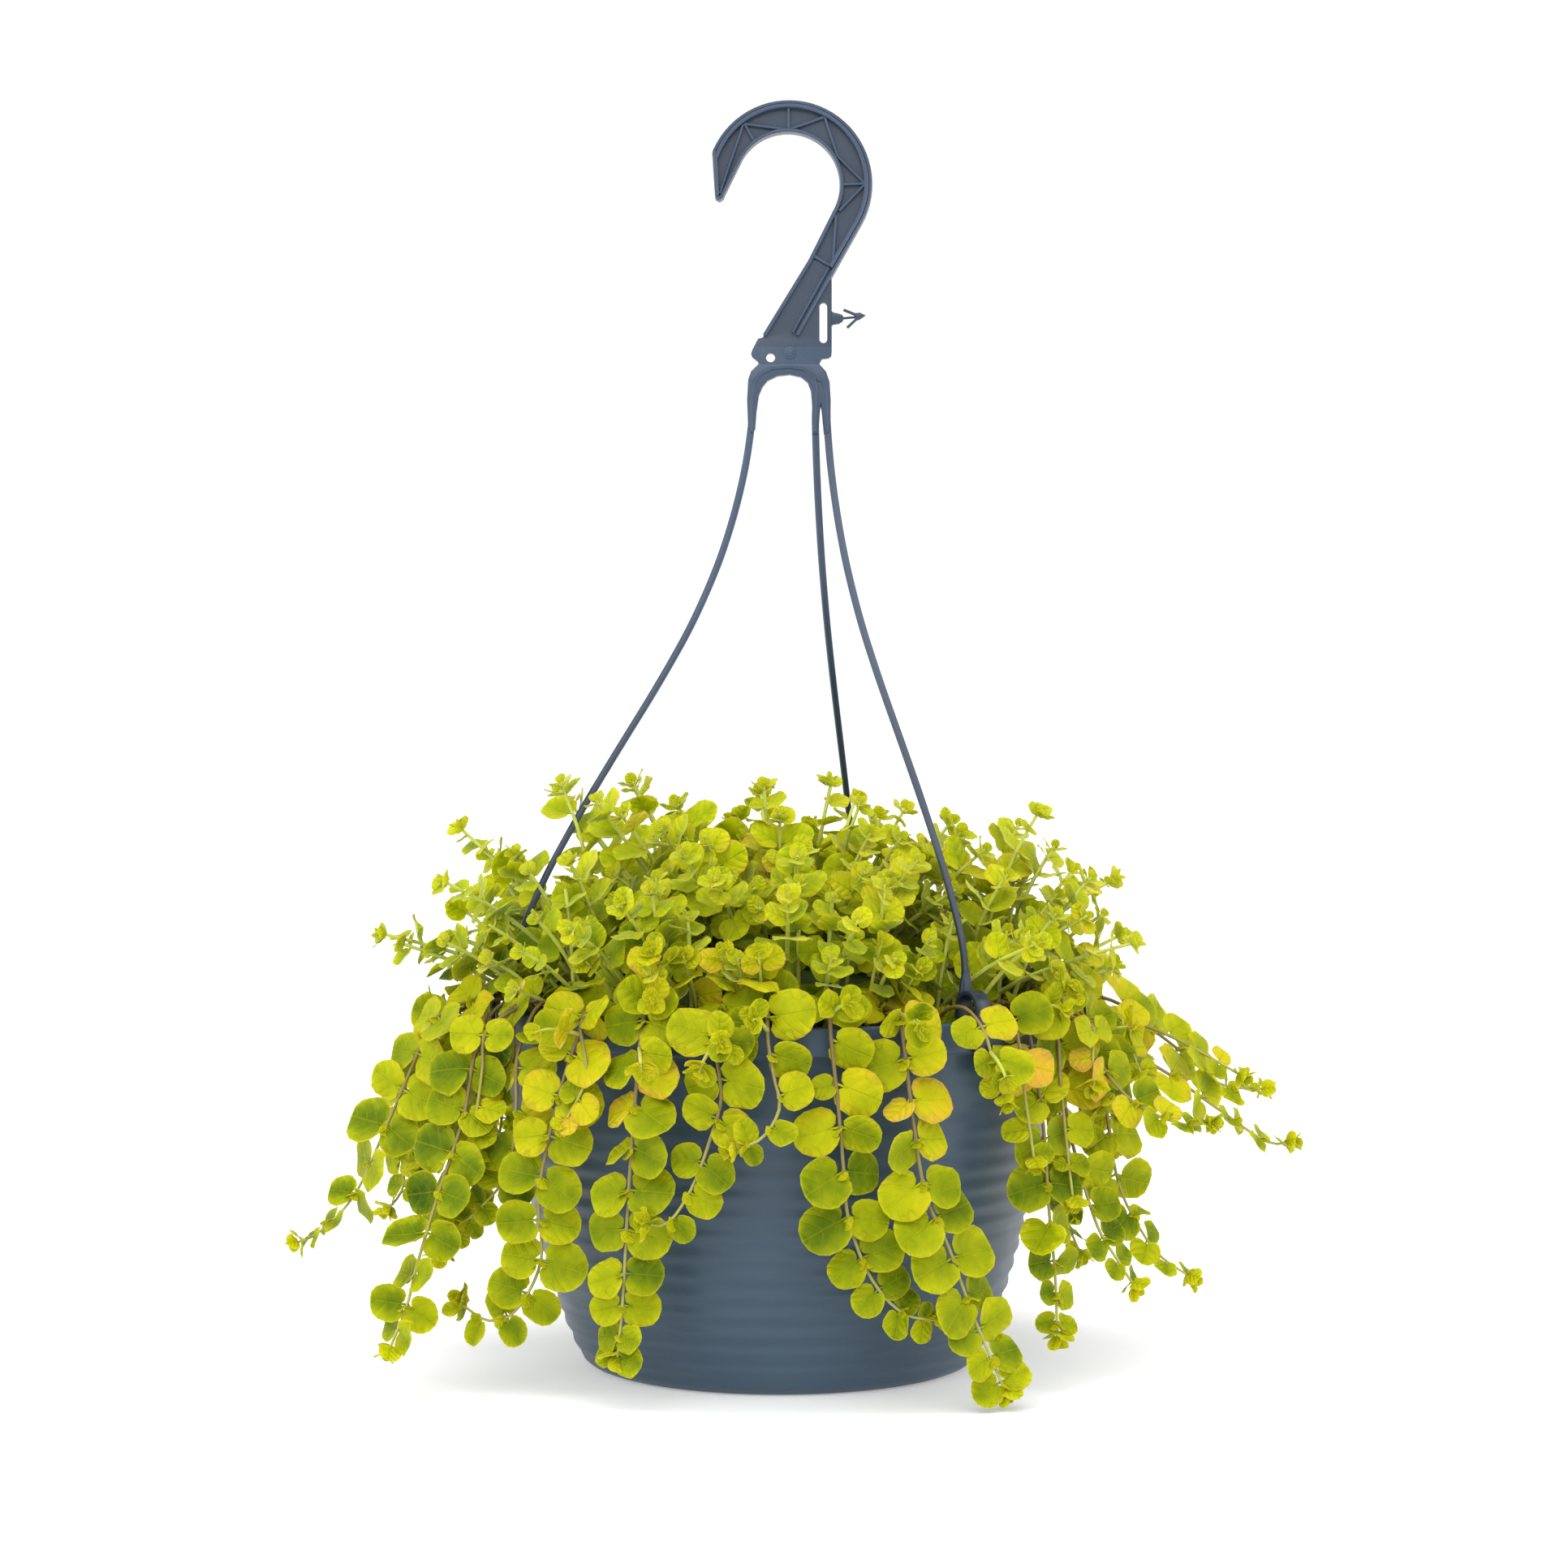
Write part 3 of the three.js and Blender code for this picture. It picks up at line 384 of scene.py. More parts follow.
def swept(path, section, up=None):
    """A closed tube of the given section of (sideways, outwards) points along a path. up fixes
    which way the section's second axis looks. A section may also be a function of the share."""
    path = [Vector(point) for point in path]
    last, side, points, faces = len(path) - 1, None, [], []
    for i, here in enumerate(path):
        before, after = path[max(i - 1, 0)], path[min(i + 1, last)]
        ahead, stretch = (after - before).normalized(), 1.0
        if up is not None:
            look = Vector(up)
            side = ahead.cross(look).normalized()
            if here != before and here != after:
                bend = (after - here).angle(here - before)
                stretch = min(1 / max(math.cos(bend / 2), 0.4), 2)
        else:
            side = side or ahead.orthogonal()
            side = (side - ahead * side.dot(ahead)).normalized()
            look = side.cross(ahead)
        ring = section(i / last) if callable(section) else section
        points += [here + side * a * stretch + look * b for a, b in ring]
    size = len(points) // (last + 1)
    for start in range(0, last * size, size):
        for k in range(size):
            m = (k + 1) % size
            faces.append([start + k, start + m, start + size + m, start + size + k])
    faces += [list(range(size))[::-1], [last * size + k for k in range(size)]]
    mesh = bmesh.new()
    corners = [mesh.verts.new(point) for point in points]
    for face in faces:
        mesh.faces.new([corners[k] for k in face])
    bmesh.ops.recalc_face_normals(mesh, faces=mesh.faces)
    return mesh


def strip(points, section, depth=0.0):
    """A bar along a line of (x, z) points that lies in the hook's plane or beside it."""
    return swept([(x, depth, z) for x, z in points], section, up=(0, 1, 0))


def bar_section(width, depth, soft=0.35, draft=0.0):
    """A rectangle with cut corners, as (across, deep) points. draft swells its middle, as a
    mould does."""
    a, b, wide = width / 2, depth / 2, width / 2 + draft
    return [(-wide, 0), (-a, -b + soft), (-a + soft, -b), (a - soft, -b), (a, -b + soft),
            (wide, 0), (a, b - soft), (a - soft, b), (-a + soft, b), (-a, b - soft)]


def arc(centre, radius, start, end, steps):
    angles = np.radians(np.linspace(start, end, steps + 1))
    return [(centre[0] + radius * math.cos(t), centre[1] + radius * math.sin(t)) for t in angles]


def disc(middle, radius, depth, soften):
    return plate(arc(middle, radius, 0, 345, 23), depth, soften)


print("sweeps ready")

# %% The hook's sizes and its outline, drawn a given distance inside the outer edge
HOOK_OUTER, HOOK_INNER, HOOK_DEPTH, HOOK_WEB = ((4.0, 517.0), 36.5), ((3.5, 516.5), 23.0), 7.4, 2.4
SHANK_TURN, NOSE_TURN, HOOK_STEPS, WALL_INSET = -29.3, 152.0, 36, 0.85
# The truss of ribs between the hook's two walls, each from one joint to the next
RIB_LINES = [
    ((-15.8, 543.2), (3.4, 540.6)), ((3.8, 550.6), (3.8, 540)), ((4.6, 540.8), (19.4, 546.2)),
    ((19.7, 546.4), (25.2, 529)), ((25.2, 529), (37.2, 517.2)), ((27, 516.6), (38, 516.9)),
    ((37.2, 516.4), (26, 505)), ((24.6, 503), (23.4, 481.6)), ((14.4, 485.4), (23, 480.4)),
    ((-15.4, 542.8), (-11, 535.2)), ((-16.2, 542.8), (-26.4, 512.6)), ((21.4, 480), (5.6, 451.5)),
]


def shank_corner(inset):
    return -8.2 + inset * 1.8, 449.5 + inset


def hook_outline(inset):
    """The outer arc and the inner one aren't concentric. Each runs into its straight lines."""
    (outer, reach), (inner, hollow) = HOOK_OUTER, HOOK_INNER
    return [
        (-28.3 + inset, 511.2 + inset * 0.5), (-29.4 + inset, 527.6),
        (-29.6 + inset, 531.0 - inset * 0.6),
        *arc(outer, reach - inset, 156, SHANK_TURN, HOOK_STEPS),
        (8 - inset * 0.6, 449.5 + inset), shank_corner(inset), (12.4 + inset * 1.1, 483),
        *arc(inner, hollow + inset, SHANK_TURN, NOSE_TURN, HOOK_STEPS),
        (-24.4 - inset * 0.9, 511.8 + inset * 0.5), (-25.3 - inset * 0.4, 510.2 + inset),
        (-26.6, 509.6 + inset), (-27.7 + inset * 0.4, 510.0 + inset),
    ]


def hook_forms():
    """The web, the wall all round it, the thicker band on the outer arc and the ribs."""
    (centre, reach), line = HOOK_OUTER, hook_outline(WALL_INSET)
    foot = line.index(shank_corner(WALL_INSET))
    saddle = arc(centre, reach - 2.5, 158, SHANK_TURN, HOOK_STEPS)
    band = [(-27.6, 511.6), (-28.4, 527.4), *saddle, (22.2, 480.3)]
    rib = bar_section(1.3, HOOK_DEPTH - 0.9, 0.3)
    return [plate(hook_outline(0.7), HOOK_WEB, 0.0),
            strip(line[foot:] + line[:foot], bar_section(1.5, HOOK_DEPTH, draft=0.4)),
            strip(band, bar_section(1.8, HOOK_DEPTH + 1.6, 0.4)),
            *(strip(ends, rib) for ends in RIB_LINES)]


# %% The plate under the hook, with its slot, round hole, gate disc and label barb
def plate_forms():
    outline = [(-7.6, 449.5), (-9.6, 449), (-12.2, 444), (-12.7, 442.4), (-12.2, 440.9), (-9.8, 439),
               (-9.2, 437.8), (-9, 434.8), (17.2, 434.8), (17.5, 438.2), (18.4, 440), (21.4, 440.4),
               (22.6, 441.2), (22.8, 443), (22.8, 473.5), (22.6, 480), (15, 484.4), (12, 481)]
    lug = [(21.8, 453.8), (23.4, 455.2), (26, 455.6), (27.6, 456.6), (28.2, 458.2), (27.4, 459.6),
           (25.6, 460.2), (23.6, 460.6), (21.8, 462)]
    tip = [(33.4, 457), (35, 457.4), (37.8, 459.3), (35.2, 460.6), (33.4, 460.4)]
    tail, gate = bar_section(1.2, 1.5, 0.3), (4.3, 442.7)
    forms = [plate(outline, 3.4, 0.3), plate(lug, 2.2, 0.4),
             strip([(27, 458), (34.2, 458.7)], bar_section(1, 1.3, 0.3)), plate(tip, 1.6, 0.25),
             strip([(35, 459), (28, 461.8)], tail), strip([(35, 459), (29.6, 453.9)], tail),
             disc(gate, 2.8, 4.2, 0.3), disc(gate, 1.7, 5.0, 0.45)]
    slot = [*arc((19.1, 463.1), 1.7, 0, 180, 10), *arc((19.1, 448.7), 1.7, 180, 360, 10)]
    return forms, [plate(slot, 12, 0.0), disc((-4.1, 440.6), 2, 12, 0.0)]


# %% The bridge: an arch with a raised ridge, and struts down to the legs
def bridge_forms():
    outline = [(-9.3, 438), (-12.7, 434.7), (-14, 431), (-14.5, 422), (-14, 409), (-10.8, 409),
               (-10.2, 417), (-9.2, 424), (-7.6, 427.7), (-5.4, 430.4), (-1.1, 432.5), (4.3, 433.1),
               (9.3, 432), (12.2, 429.6), (13.6, 426), (14.1, 420), (14.1, 407), (17, 407), (17.6, 417),
               (18, 419.4), (18.4, 417), (19.3, 407), (22.2, 407), (22.4, 422), (21.9, 430),
               (20.3, 434.6), (17.2, 438)]
    ridge = [(-12.4, 408), (-12.5, 422), (-11.4, 429.6), (-8.6, 433), (-3.6, 435.6), (4.3, 436.3),
             (10.6, 435.2), (14.8, 432.4), (16.4, 428), (15.8, 420), (15.6, 408)]
    twin = [(16.2, 431), (19, 429.8), (20.4, 424), (20.8, 408)]
    forms = [plate(outline, 4.6, 0.9)]
    for depth in (-2.2, 2.2):
        forms += [strip(ridge, bar_section(1.3, 1.3, 0.4), depth),
                  strip(twin, bar_section(1.1, 1.1, 0.35), depth)]
    return forms


# %% [markdown]
# The legs and the leafy stems all follow smooth lines through a few points. This class reads such
# a line by its share of the length, as the part's own source does, so that what is made here falls
# on the solids it stands for.

# %% A smooth line through points
class Path:
    STEPS = 200

    def __init__(self, points):
        self.points = np.array([list(point) for point in points], float)
        self.marks = np.linspace(0, 1, self.STEPS + 1)
        gaps = np.linalg.norm(np.diff(self.at_time(self.marks), axis=0), axis=1)
        self.lengths = np.concatenate([[0], np.cumsum(gaps)])
        self.length = float(self.lengths[-1])

    def at_time(self, times):
        points, last = self.points, len(self.points) - 1
        where = np.clip(np.atleast_1d(times), 0, 1) * last
        whole = np.minimum(where.astype(int), last - 1)
        part = (where - whole)[:, None]
        start, end = points[whole], points[whole + 1]
        first, final = 2 * points[0] - points[1], 2 * points[-1] - points[-2]
        before = np.where((whole > 0)[:, None], points[np.maximum(whole - 1, 0)], first)
        after = np.where((whole + 2 <= last)[:, None], points[np.minimum(whole + 2, last)], final)
        leave, arrive = 0.5 * (end - before), 0.5 * (after - start)
        square = -3 * start + 3 * end - 2 * leave - arrive
        cube = 2 * start - 2 * end + leave + arrive
        return start + leave * part + square * part**2 + cube * part**3

    def times(self, shares):
        return np.interp(np.asarray(shares) * self.length, self.lengths, self.marks)

    def at(self, share):
        return self.at_time(self.times(share))[0]

    def along(self, count):
        return self.at_time(self.times(np.linspace(0, 1, count + 1)))

    def every(self, step):
        return self.along(math.ceil(self.length / step))

    def ahead(self, share):
        time = float(self.times(share))
        step = self.at_time(min(time + 1e-4, 1))[0] - self.at_time(max(time - 1e-4, 0))[0]
        return step / np.linalg.norm(step)


# %% The legs and clips
LEG_AZIMUTHS, LEG_TOPS, LEG_TOP = (281, 41, 161), (-12.4, 20.8, 15.6), 416
CLIP_MIDDLE, CLIP_SPAN, CLIP_BAND, CLIP_WIDTH = 120.9, 12.8, 1.7, 8.0
CLIP_TOP, CLIP_FOOT = 168.0, 141.0
# How far out a leg has come at each height: as in the solids, and the same line drawn smoother
LEG_SPREAD = [(411, 0), (404, 0.01), (388, 0.035), (371, 0.076), (350, 0.143), (323, 0.255),
              (297, 0.405), (275, 0.53), (251, 0.67), (220, 0.825), (204, 0.91), (190, 0.965), (176, 1)]
LEG_CURVE = list(zip(range(411, 170, -15), (
    0.001, 0.021, 0.051, 0.09, 0.138, 0.197, 0.265, 0.344, 0.429, 0.518, 0.607, 0.694, 0.777, 0.855,
    0.923, 0.978, 1.0)))


def leg_path(index, spread=LEG_SPREAD):
    top, (x, y, _) = LEG_TOPS[index], place(LEG_AZIMUTHS[index], CLIP_MIDDLE - 4, 0)
    points = [(top + (x - top) * share, y * share, height) for height, share in spread]
    return Path([(top, 0, LEG_TOP), *points, (x, y, CLIP_TOP - 1)])


def leg_section(share):
    """A round bar with a ridge on two sides. It swells into its clip at the foot."""
    swell = 1 + 0.9 * max(0, (share - 0.955) / 0.045) ** 1.5
    slim, ring = 1.75 - 0.2 * share, []
    for i in range(12):
        angle, ridge = math.pi * i / 6, 1.17 if i % 6 == 3 else 0.96
        across, deep = slim * ridge * swell * math.cos(angle), slim * ridge * math.sin(angle) * swell
        ring.append((across, deep))
    return ring


def clip_forms(azimuth):
    """A spring band over the rim with a barb under it, and three fins that the leg runs into."""
    outer, inner = CLIP_SPAN / 2, CLIP_SPAN / 2 - CLIP_BAND
    middle, barb = (0, CLIP_TOP - outer), RIM_TOP - RIM_BAND - 0.4
    profile = [(outer - 0.6, CLIP_FOOT), (outer, CLIP_FOOT + 1.5), *arc(middle, outer, 0, 180, 18),
               (-outer, RIM_TOP - 2), (-inner, RIM_TOP - 2), *arc(middle, inner, 180, 0, 18),
               (inner, barb), (inner - 1.6, barb), (inner - 1, CLIP_FOOT)]
    forms = [plate(profile, CLIP_WIDTH, 0.4)]
    for tilt in (-2.6, 0, 2.6):
        fin = [(-4, tilt * 0.25, CLIP_TOP + 8), (-4.4, tilt * 0.7, CLIP_TOP + 3),
               (-4.6, tilt, CLIP_TOP - 3)]
        forms.append(swept(fin, bar_section(1.8, 2.2, 0.5), up=(1, 0, 0)))
    turn = Matrix.Rotation(math.radians(azimuth - 90), 4, "Z")
    move = Matrix.Translation(Vector(place(azimuth, CLIP_MIDDLE, 0)))
    for form in forms:
        form.transform(move @ turn)
    return forms


# %% Join the hanger's forms into one closed body
# The flat forms were measured on their front face, which stands nearer to the camera
NEARER_BY = 0.4
plate_solids, plate_holes = plate_forms()
forms = hook_forms() + plate_solids + bridge_forms()
for form in forms + plate_holes:
    bmesh.ops.translate(form, vec=(0, 0, -NEARER_BY), verts=form.verts)
for index, azimuth in enumerate(LEG_AZIMUTHS):
    forms.append(swept(leg_path(index, LEG_CURVE).along(110), leg_section))
    forms += clip_forms(azimuth)
hanger, *others = [join(form, "hanger_moulding") for form in forms]
boolean(hanger, others, "UNION")
boolean(hanger, [join(hole, "hole") for hole in plate_holes], "DIFFERENCE")
hanger.data.materials.clear()
hanger.data.materials.append(HANGER_PLASTIC)
hanger.data.polygons.foreach_set("use_smooth", [True] * len(hanger.data.polygons))
hanger.data.set_sharp_from_angle(angle=math.radians(38))
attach(hanger, "root")
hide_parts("hanger")

# %% [markdown]
# ## Where every stem and leaf goes
# The part's source grows the plant by a rule, with a seeded draw, and its faceted solids carry
# every second pair of leaves. The same rule runs here, so that the full set of fine leaves covers
# the solids. A leaf that would cross a neighbour lifts, rolls or shrinks until it fits, or is left
# out. After those come shorter stems that only this script adds, and they give way to the rest.

# %% Sizes of the plant
CAMERA_PLACE, CAMERA_LENS = (1.8, -1357, 252.8), 70.8
SOIL_TOP, SOIL_GAP, ROOT_RADIUS, ROOT_DEPTH, HOLE_DEPTH = 147.0, 0.3, 26.0, 5.0, 6.0
CORE_RADIUS, CORE_HEIGHT, CORE_LEAVES = 80.0, 42.0, 36
STEM_RADIUS, LEAF_FOLD, SMALLEST_LEAF = 1.2, 0.14, 0.42
LEAF_LENGTH, PAIR_SPACING, SHOOT_LEAF, SHOOT_SPACING, SMALL_LEAF = 19.0, 17.0, 18.0, 13.0, 20.0
BLADE = [(0.27, 0.17), (0.5, 0.52), (0.33, 0.88)]
SMALL_BLADE = [(0.4, 0.3), (0.38, 0.8)]

# %% Routes of the trailing strands and tips of the shoots
STRANDS = [
    [(289, 148, 158), (289, 158, 147), (288, 166, 128), (287, 175, 106),
     (287, 188, 79), (287, 203, 64), (287, 213, 60)],
    [(301, 146, 144), (301, 153, 114), (300, 162, 86), (299, 171, 55), (299, 176, 37), (298, 183, 18)],
    [(268, 158, 140), (268, 165, 122), (268, 168, 97), (267, 167, 75), (267, 175, 63)],
    [(322, 133, 150), (320, 135, 136), (316, 136, 107), (314, 137, 83),
     (314, 136, 57), (309, 140, 36), (304, 146, 31), (298, 153, 38)],
    [(308, 137, 142), (308, 138, 116), (306, 139, 92), (301, 146, 76), (296, 152, 66)],
    [(335, 133, 146), (334, 133, 120), (333, 133, 92), (332, 132, 64), (331, 131, 40), (330, 131, 20)],
    [(349, 133, 148), (350, 134, 128), (348, 135, 110), (345, 135, 92), (341, 137, 78), (337, 141, 78)],
    [(358, 134, 152), (359, 139, 138), (0, 142, 125), (357, 144, 113), (352, 146, 109)],
    [(9, 132, 150), (10, 134, 126), (11, 134, 99), (12, 133, 79),
     (16, 132, 56), (22, 132, 41), (29, 134, 37)],
    [(22, 133, 148), (23, 136, 120), (25, 138, 89), (29, 139, 68),
     (33, 141, 42), (37, 144, 18), (39, 146, 6)],
    [(51, 133, 148), (54, 135, 112), (55, 136, 80), (56, 138, 48), (56, 139, 22)],
    [(61, 134, 142), (62, 137, 110), (65, 146, 70), (67, 154, 53), (69, 161, 40)],
    [(75, 141, 142), (75, 145, 110), (75, 150, 82), (76, 158, 64), (77, 167, 51), (78, 181, 41)],
    [(86, 135, 158), (86, 152, 138), (86, 172, 125), (85, 192, 111), (84, 212, 98), (84, 224, 98)],
    [(98, 150, 156), (98, 163, 147), (98, 184, 131), (98, 200, 118), (99, 223, 115)],
    [(67, 146, 136), (67, 158, 122), (67, 170, 115), (67, 183, 111), (67, 196, 112)],
    [(37, 138, 152), (37, 144, 138), (38, 148, 124)],
    [(112, 135, 146), (112, 138, 112), (114, 140, 80), (115, 146, 52), (115, 154, 34)],
    [(139, 134, 146), (140, 136, 108), (142, 137, 70), (144, 139, 34), (146, 143, 12)],
    [(174, 134, 148), (173, 136, 114), (172, 137, 78), (171, 139, 46), (168, 146, 28)],
    [(200, 133, 146), (201, 135, 104), (203, 136, 64), (204, 139, 30), (205, 146, 12)],
    [(214, 138, 150), (215, 148, 128), (216, 156, 100), (216, 165, 78), (216, 176, 64)],
    [(229, 134, 148), (229, 137, 110), (228, 139, 74), (226, 143, 44)],
    [(256, 136, 148), (256, 144, 122), (257, 148, 92), (257, 154, 68)],
]
ARCHING = [
    (271, 141, 234), (292, 153, 212), (276, 174, 188), (76, 115, 241), (89, 148, 212), (70, 160, 186),
    (330, 128, 204), (14, 128, 198), (110, 150, 206), (180, 148, 202), (208, 140, 214), (236, 152, 196),
]
UPRIGHT = [
    (340, 20, 252), (60, 26, 254), (262, 66, 254), (265, 98, 250), (232, 60, 244), (90, 55, 242),
    (110, 82, 236), (145, 60, 246), (190, 50, 250), (212, 85, 236), (316, 58, 230), (10, 62, 226),
    (40, 60, 232), (72, 82, 232), (355, 92, 202), (325, 90, 208),
]


def drawer(seed):
    """A repeatable draw between 0 and 1, the same as in the part's source."""
    state = [seed]

    def draw():
        state[0] = (state[0] * 1664525 + 1013904223) % 4294967296
        return state[0] / 4294967296

    return draw


def unit(vector):
    return vector / max(np.linalg.norm(vector), 1e-12)


def outwards(at, centre=0.0):
    """Level, away from the vertical axis or from one that stands further back."""
    return unit(np.array([at[0], at[1] - centre, 0.0]))


def spun(vector, axis, angle):
    return (vector * math.cos(angle) + np.cross(axis, vector) * math.sin(angle)
            + axis * np.dot(axis, vector) * (1 - math.cos(angle)))


# %% The stems' routes, as in the part's source
def root_points(azimuth, radius):
    return [place(azimuth, radius, SOIL_TOP + above) for above in (0.4 - HOLE_DEPTH, -1, 5)]


def strand_route(route, index):
    azimuth, root = route[0][0], (96 if index % 2 else 105)
    start = [*root_points(azimuth, root), place(azimuth, (root + 125) / 2, RIM_TOP + 5),
             place(azimuth, 127, RIM_TOP + 5.5)]
    return Path([*start, *(place(*point) for point in route)])


def arching_route(tip, root):
    azimuth, radius, height = tip
    rise, reach = height - SOIL_TOP, radius - root
    ways = [place(azimuth, root + reach * out, SOIL_TOP + rise * up)
            for out, up in ((0.2, 0.42), (0.58, 0.76))]
    return Path([*root_points(azimuth, root), *ways, place(azimuth, radius, height)])


def core_top(radius):
    share = min(1, radius / CORE_RADIUS)
    return SOIL_TOP + CORE_HEIGHT * math.sqrt(1 - share * share)


def upright_route(tip):
    azimuth, radius, height = tip
    root = radius * 0.6
    foot = core_top(root) - 5
    return Path([place(azimuth, *spot) for spot in (
        (root, foot), (root * 1.04, foot + (height - foot) * 0.35),
        (radius * 0.82, foot + (height - foot) * 0.72), (radius, height))])


# A stem's length without leaves, the length over which it tapers, and its leaves
HANGING = {"bare": 14, "taper": 55, "leaf": LEAF_LENGTH, "spacing": PAIR_SPACING, "upright": 0,
           "core": False}
STANDING = {"taper": 40, "leaf": SHOOT_LEAF, "spacing": SHOOT_SPACING, "upright": 1, "core": False}
FRONT_HALF = -0.3  # the cosine of the azimuth where a stem counts as behind the pot


def cad_stems():
    stems = []
    for i, route in enumerate(STRANDS):
        azimuth, radius, _ = route[-1]
        turn = math.radians(azimuth)
        aside = abs(math.sin(turn)) > 0.7 and math.cos(turn) > FRONT_HALF
        stems.append({**HANGING, "name": f"strand_{i + 1:02d}", "path": strand_route(route, i),
                      "seed": 101 + 37 * i, "facing": 0.7 * radius if aside else 0})
    for i, tip in enumerate(ARCHING):
        stems.append({**STANDING, "bare": 22, "name": f"shoot_{i + 1:02d}",
                      "path": arching_route(tip, 86 if i % 2 else 90), "seed": 2003 + 41 * i})
    for i, tip in enumerate(UPRIGHT):
        stems.append({**STANDING, "bare": 16, "core": True, "name": "crown",
                      "path": upright_route(tip), "seed": 5009 + 43 * i})
    return stems


# %% The pairs of leaves along a stem
def leaves_of(stem):
    """The same as in the part's source, but a side strand's leaves are turned to the front."""
    path, length, draw = stem["path"], stem["path"].length, drawer(stem["seed"])
    leaves, along, pair = [], stem["bare"], 0
    while along < length - 1:
        taper = min(1, (length - along) / stem["taper"])
        share = along / length
        at, ahead = path.at(share), path.ahead(share)
        turn = math.radians(90 * pair * stem["upright"] + (draw() - 0.5) * 50)
        outward = outwards(at, stem.get("facing", 0))
        sideways = np.array([-outward[1], outward[0], 0.0])
        if abs(np.dot(sideways, ahead)) > 0.9:
            sideways = np.array([0.0, 0.0, 1.0])
        sideways = spun(unit(sideways - ahead * np.dot(sideways, ahead)), ahead, turn)
        up = float(np.clip(0.25 + 0.6 * (ahead[2] + 1), 0, 1)) * stem.get("glance", 1)
        light = outward * (1 - 0.45 * up)
        light[2] = 0.85 * up
        if "wild" in stem:
            light = light + stem["wild"] * np.array([draw() - 0.5, draw() - 0.5, draw() - 0.5])
        size = stem["leaf"] * (SMALLEST_LEAF + (1 - SMALLEST_LEAF) * taper)
        for side in (1, -1):
            leaves.append({
                "stem": stem, "pair": pair, "share": share, "at": at, "ahead": ahead, "light": light,
                "side": sideways * side, "size": size * (0.88 + 0.24 * draw()),
                "lift": math.radians(8 + 30 * stem["upright"] + (draw() - 0.5) * 30),
                "roll": math.radians((draw() - 0.5) * 30),
            })
        along += stem["spacing"] * (0.45 + 0.55 * taper) * (0.92 + 0.16 * draw())
        pair += 1
    return leaves


CORE = {"core": True, "name": "crown", "number": -1}


def core_leaves():
    """The leaves that stand on the crown's dome, spread by the golden angle."""
    draw, leaves = drawer(7001), []
    slope = (CORE_HEIGHT / CORE_RADIUS) ** 2
    for i in range(CORE_LEAVES):
        radius = CORE_RADIUS * 0.97 * math.sqrt((i + 0.5) / CORE_LEAVES)
        at = place(137.5 * i, radius, core_top(radius) - 4.5)
        outward = outwards(at)
        ahead = outward * radius * slope
        ahead = unit(np.array([ahead[0], ahead[1], at[2] - SOIL_TOP]))
        side = unit(outward - ahead * np.dot(outward, ahead))
        side = spun(side, ahead, math.radians((draw() - 0.5) * 150))
        leaves.append({
            "stem": CORE, "pair": 2 * i, "share": 0, "at": at, "ahead": ahead, "light": ahead,
            "side": side, "size": LEAF_LENGTH * (0.9 + 0.2 * draw()),
            "lift": math.radians(42 + 20 * draw()), "roll": math.radians((draw() - 0.5) * 40),
        })
    return leaves


# %% How a leaf gives way, and what it may not touch
YIELDS = [
    (0, 0, 1), (16, 0, 1), (-16, 0, 1), (6, 28, 1), (6, -28, 1), (24, 15, 0.85), (-24, -15, 0.85),
    (32, 0, 0.9), (46, 0, 0.8), (-36, 0, 0.8), (10, 40, 0.7), (10, -40, 0.7), (10, 0, 0.5),
]


def posed(leaf, way):
    lift, roll, scale = way
    raised = leaf["lift"] + math.radians(lift)
    axis = unit(leaf["side"] * math.cos(raised) + leaf["ahead"] * math.sin(raised))
    normal = leaf["light"] - axis * np.dot(leaf["light"], axis)
    if np.linalg.norm(normal) < 0.3:
        normal = leaf["ahead"] - axis * np.dot(leaf["ahead"], axis)
    normal = spun(unit(normal), axis, leaf["roll"] + math.radians(roll))
    size = leaf["size"] * scale
    middle = leaf["at"] + axis * 0.55 * size + normal * 0.25 * LEAF_FOLD * size
    return {**leaf, "axis": axis, "normal": normal, "size": size, "middle": middle,
            "radius": 0.49 * size + 0.3}


def blocked(point, stem):
    radius = math.hypot(point[0], point[1])
    over_wall = point[2] > RIM_TOP + 1
    inside = radius < RIM_RADIUS - 8 and point[2] > SOIL_TOP + 1.2
    wall = RIM_RADIUS if point[2] > RIM_TOP - RIM_BAND - 1 else wall_radius(point[2])
    dome = core_top(radius) + (-1 if stem["core"] else 1.5)
    in_core = radius < CORE_RADIUS + 1 and point[2] < dome
    return point[2] < 0.8 or in_core or not (over_wall or inside or radius > wall + 1.4)


def blade_edge(leaf):
    lobes = SMALL_BLADE if leaf["size"] < SMALL_LEAF else BLADE
    across = np.cross(leaf["axis"], leaf["normal"])
    spots = [(side * x, y) for side in (1, -1) for x, y in lobes] + [(0, 1)]
    return [leaf["at"] + across * x * leaf["size"] + leaf["axis"] * y * leaf["size"]
            + leaf["normal"] * LEAF_FOLD * abs(x) * leaf["size"] for x, y in spots]


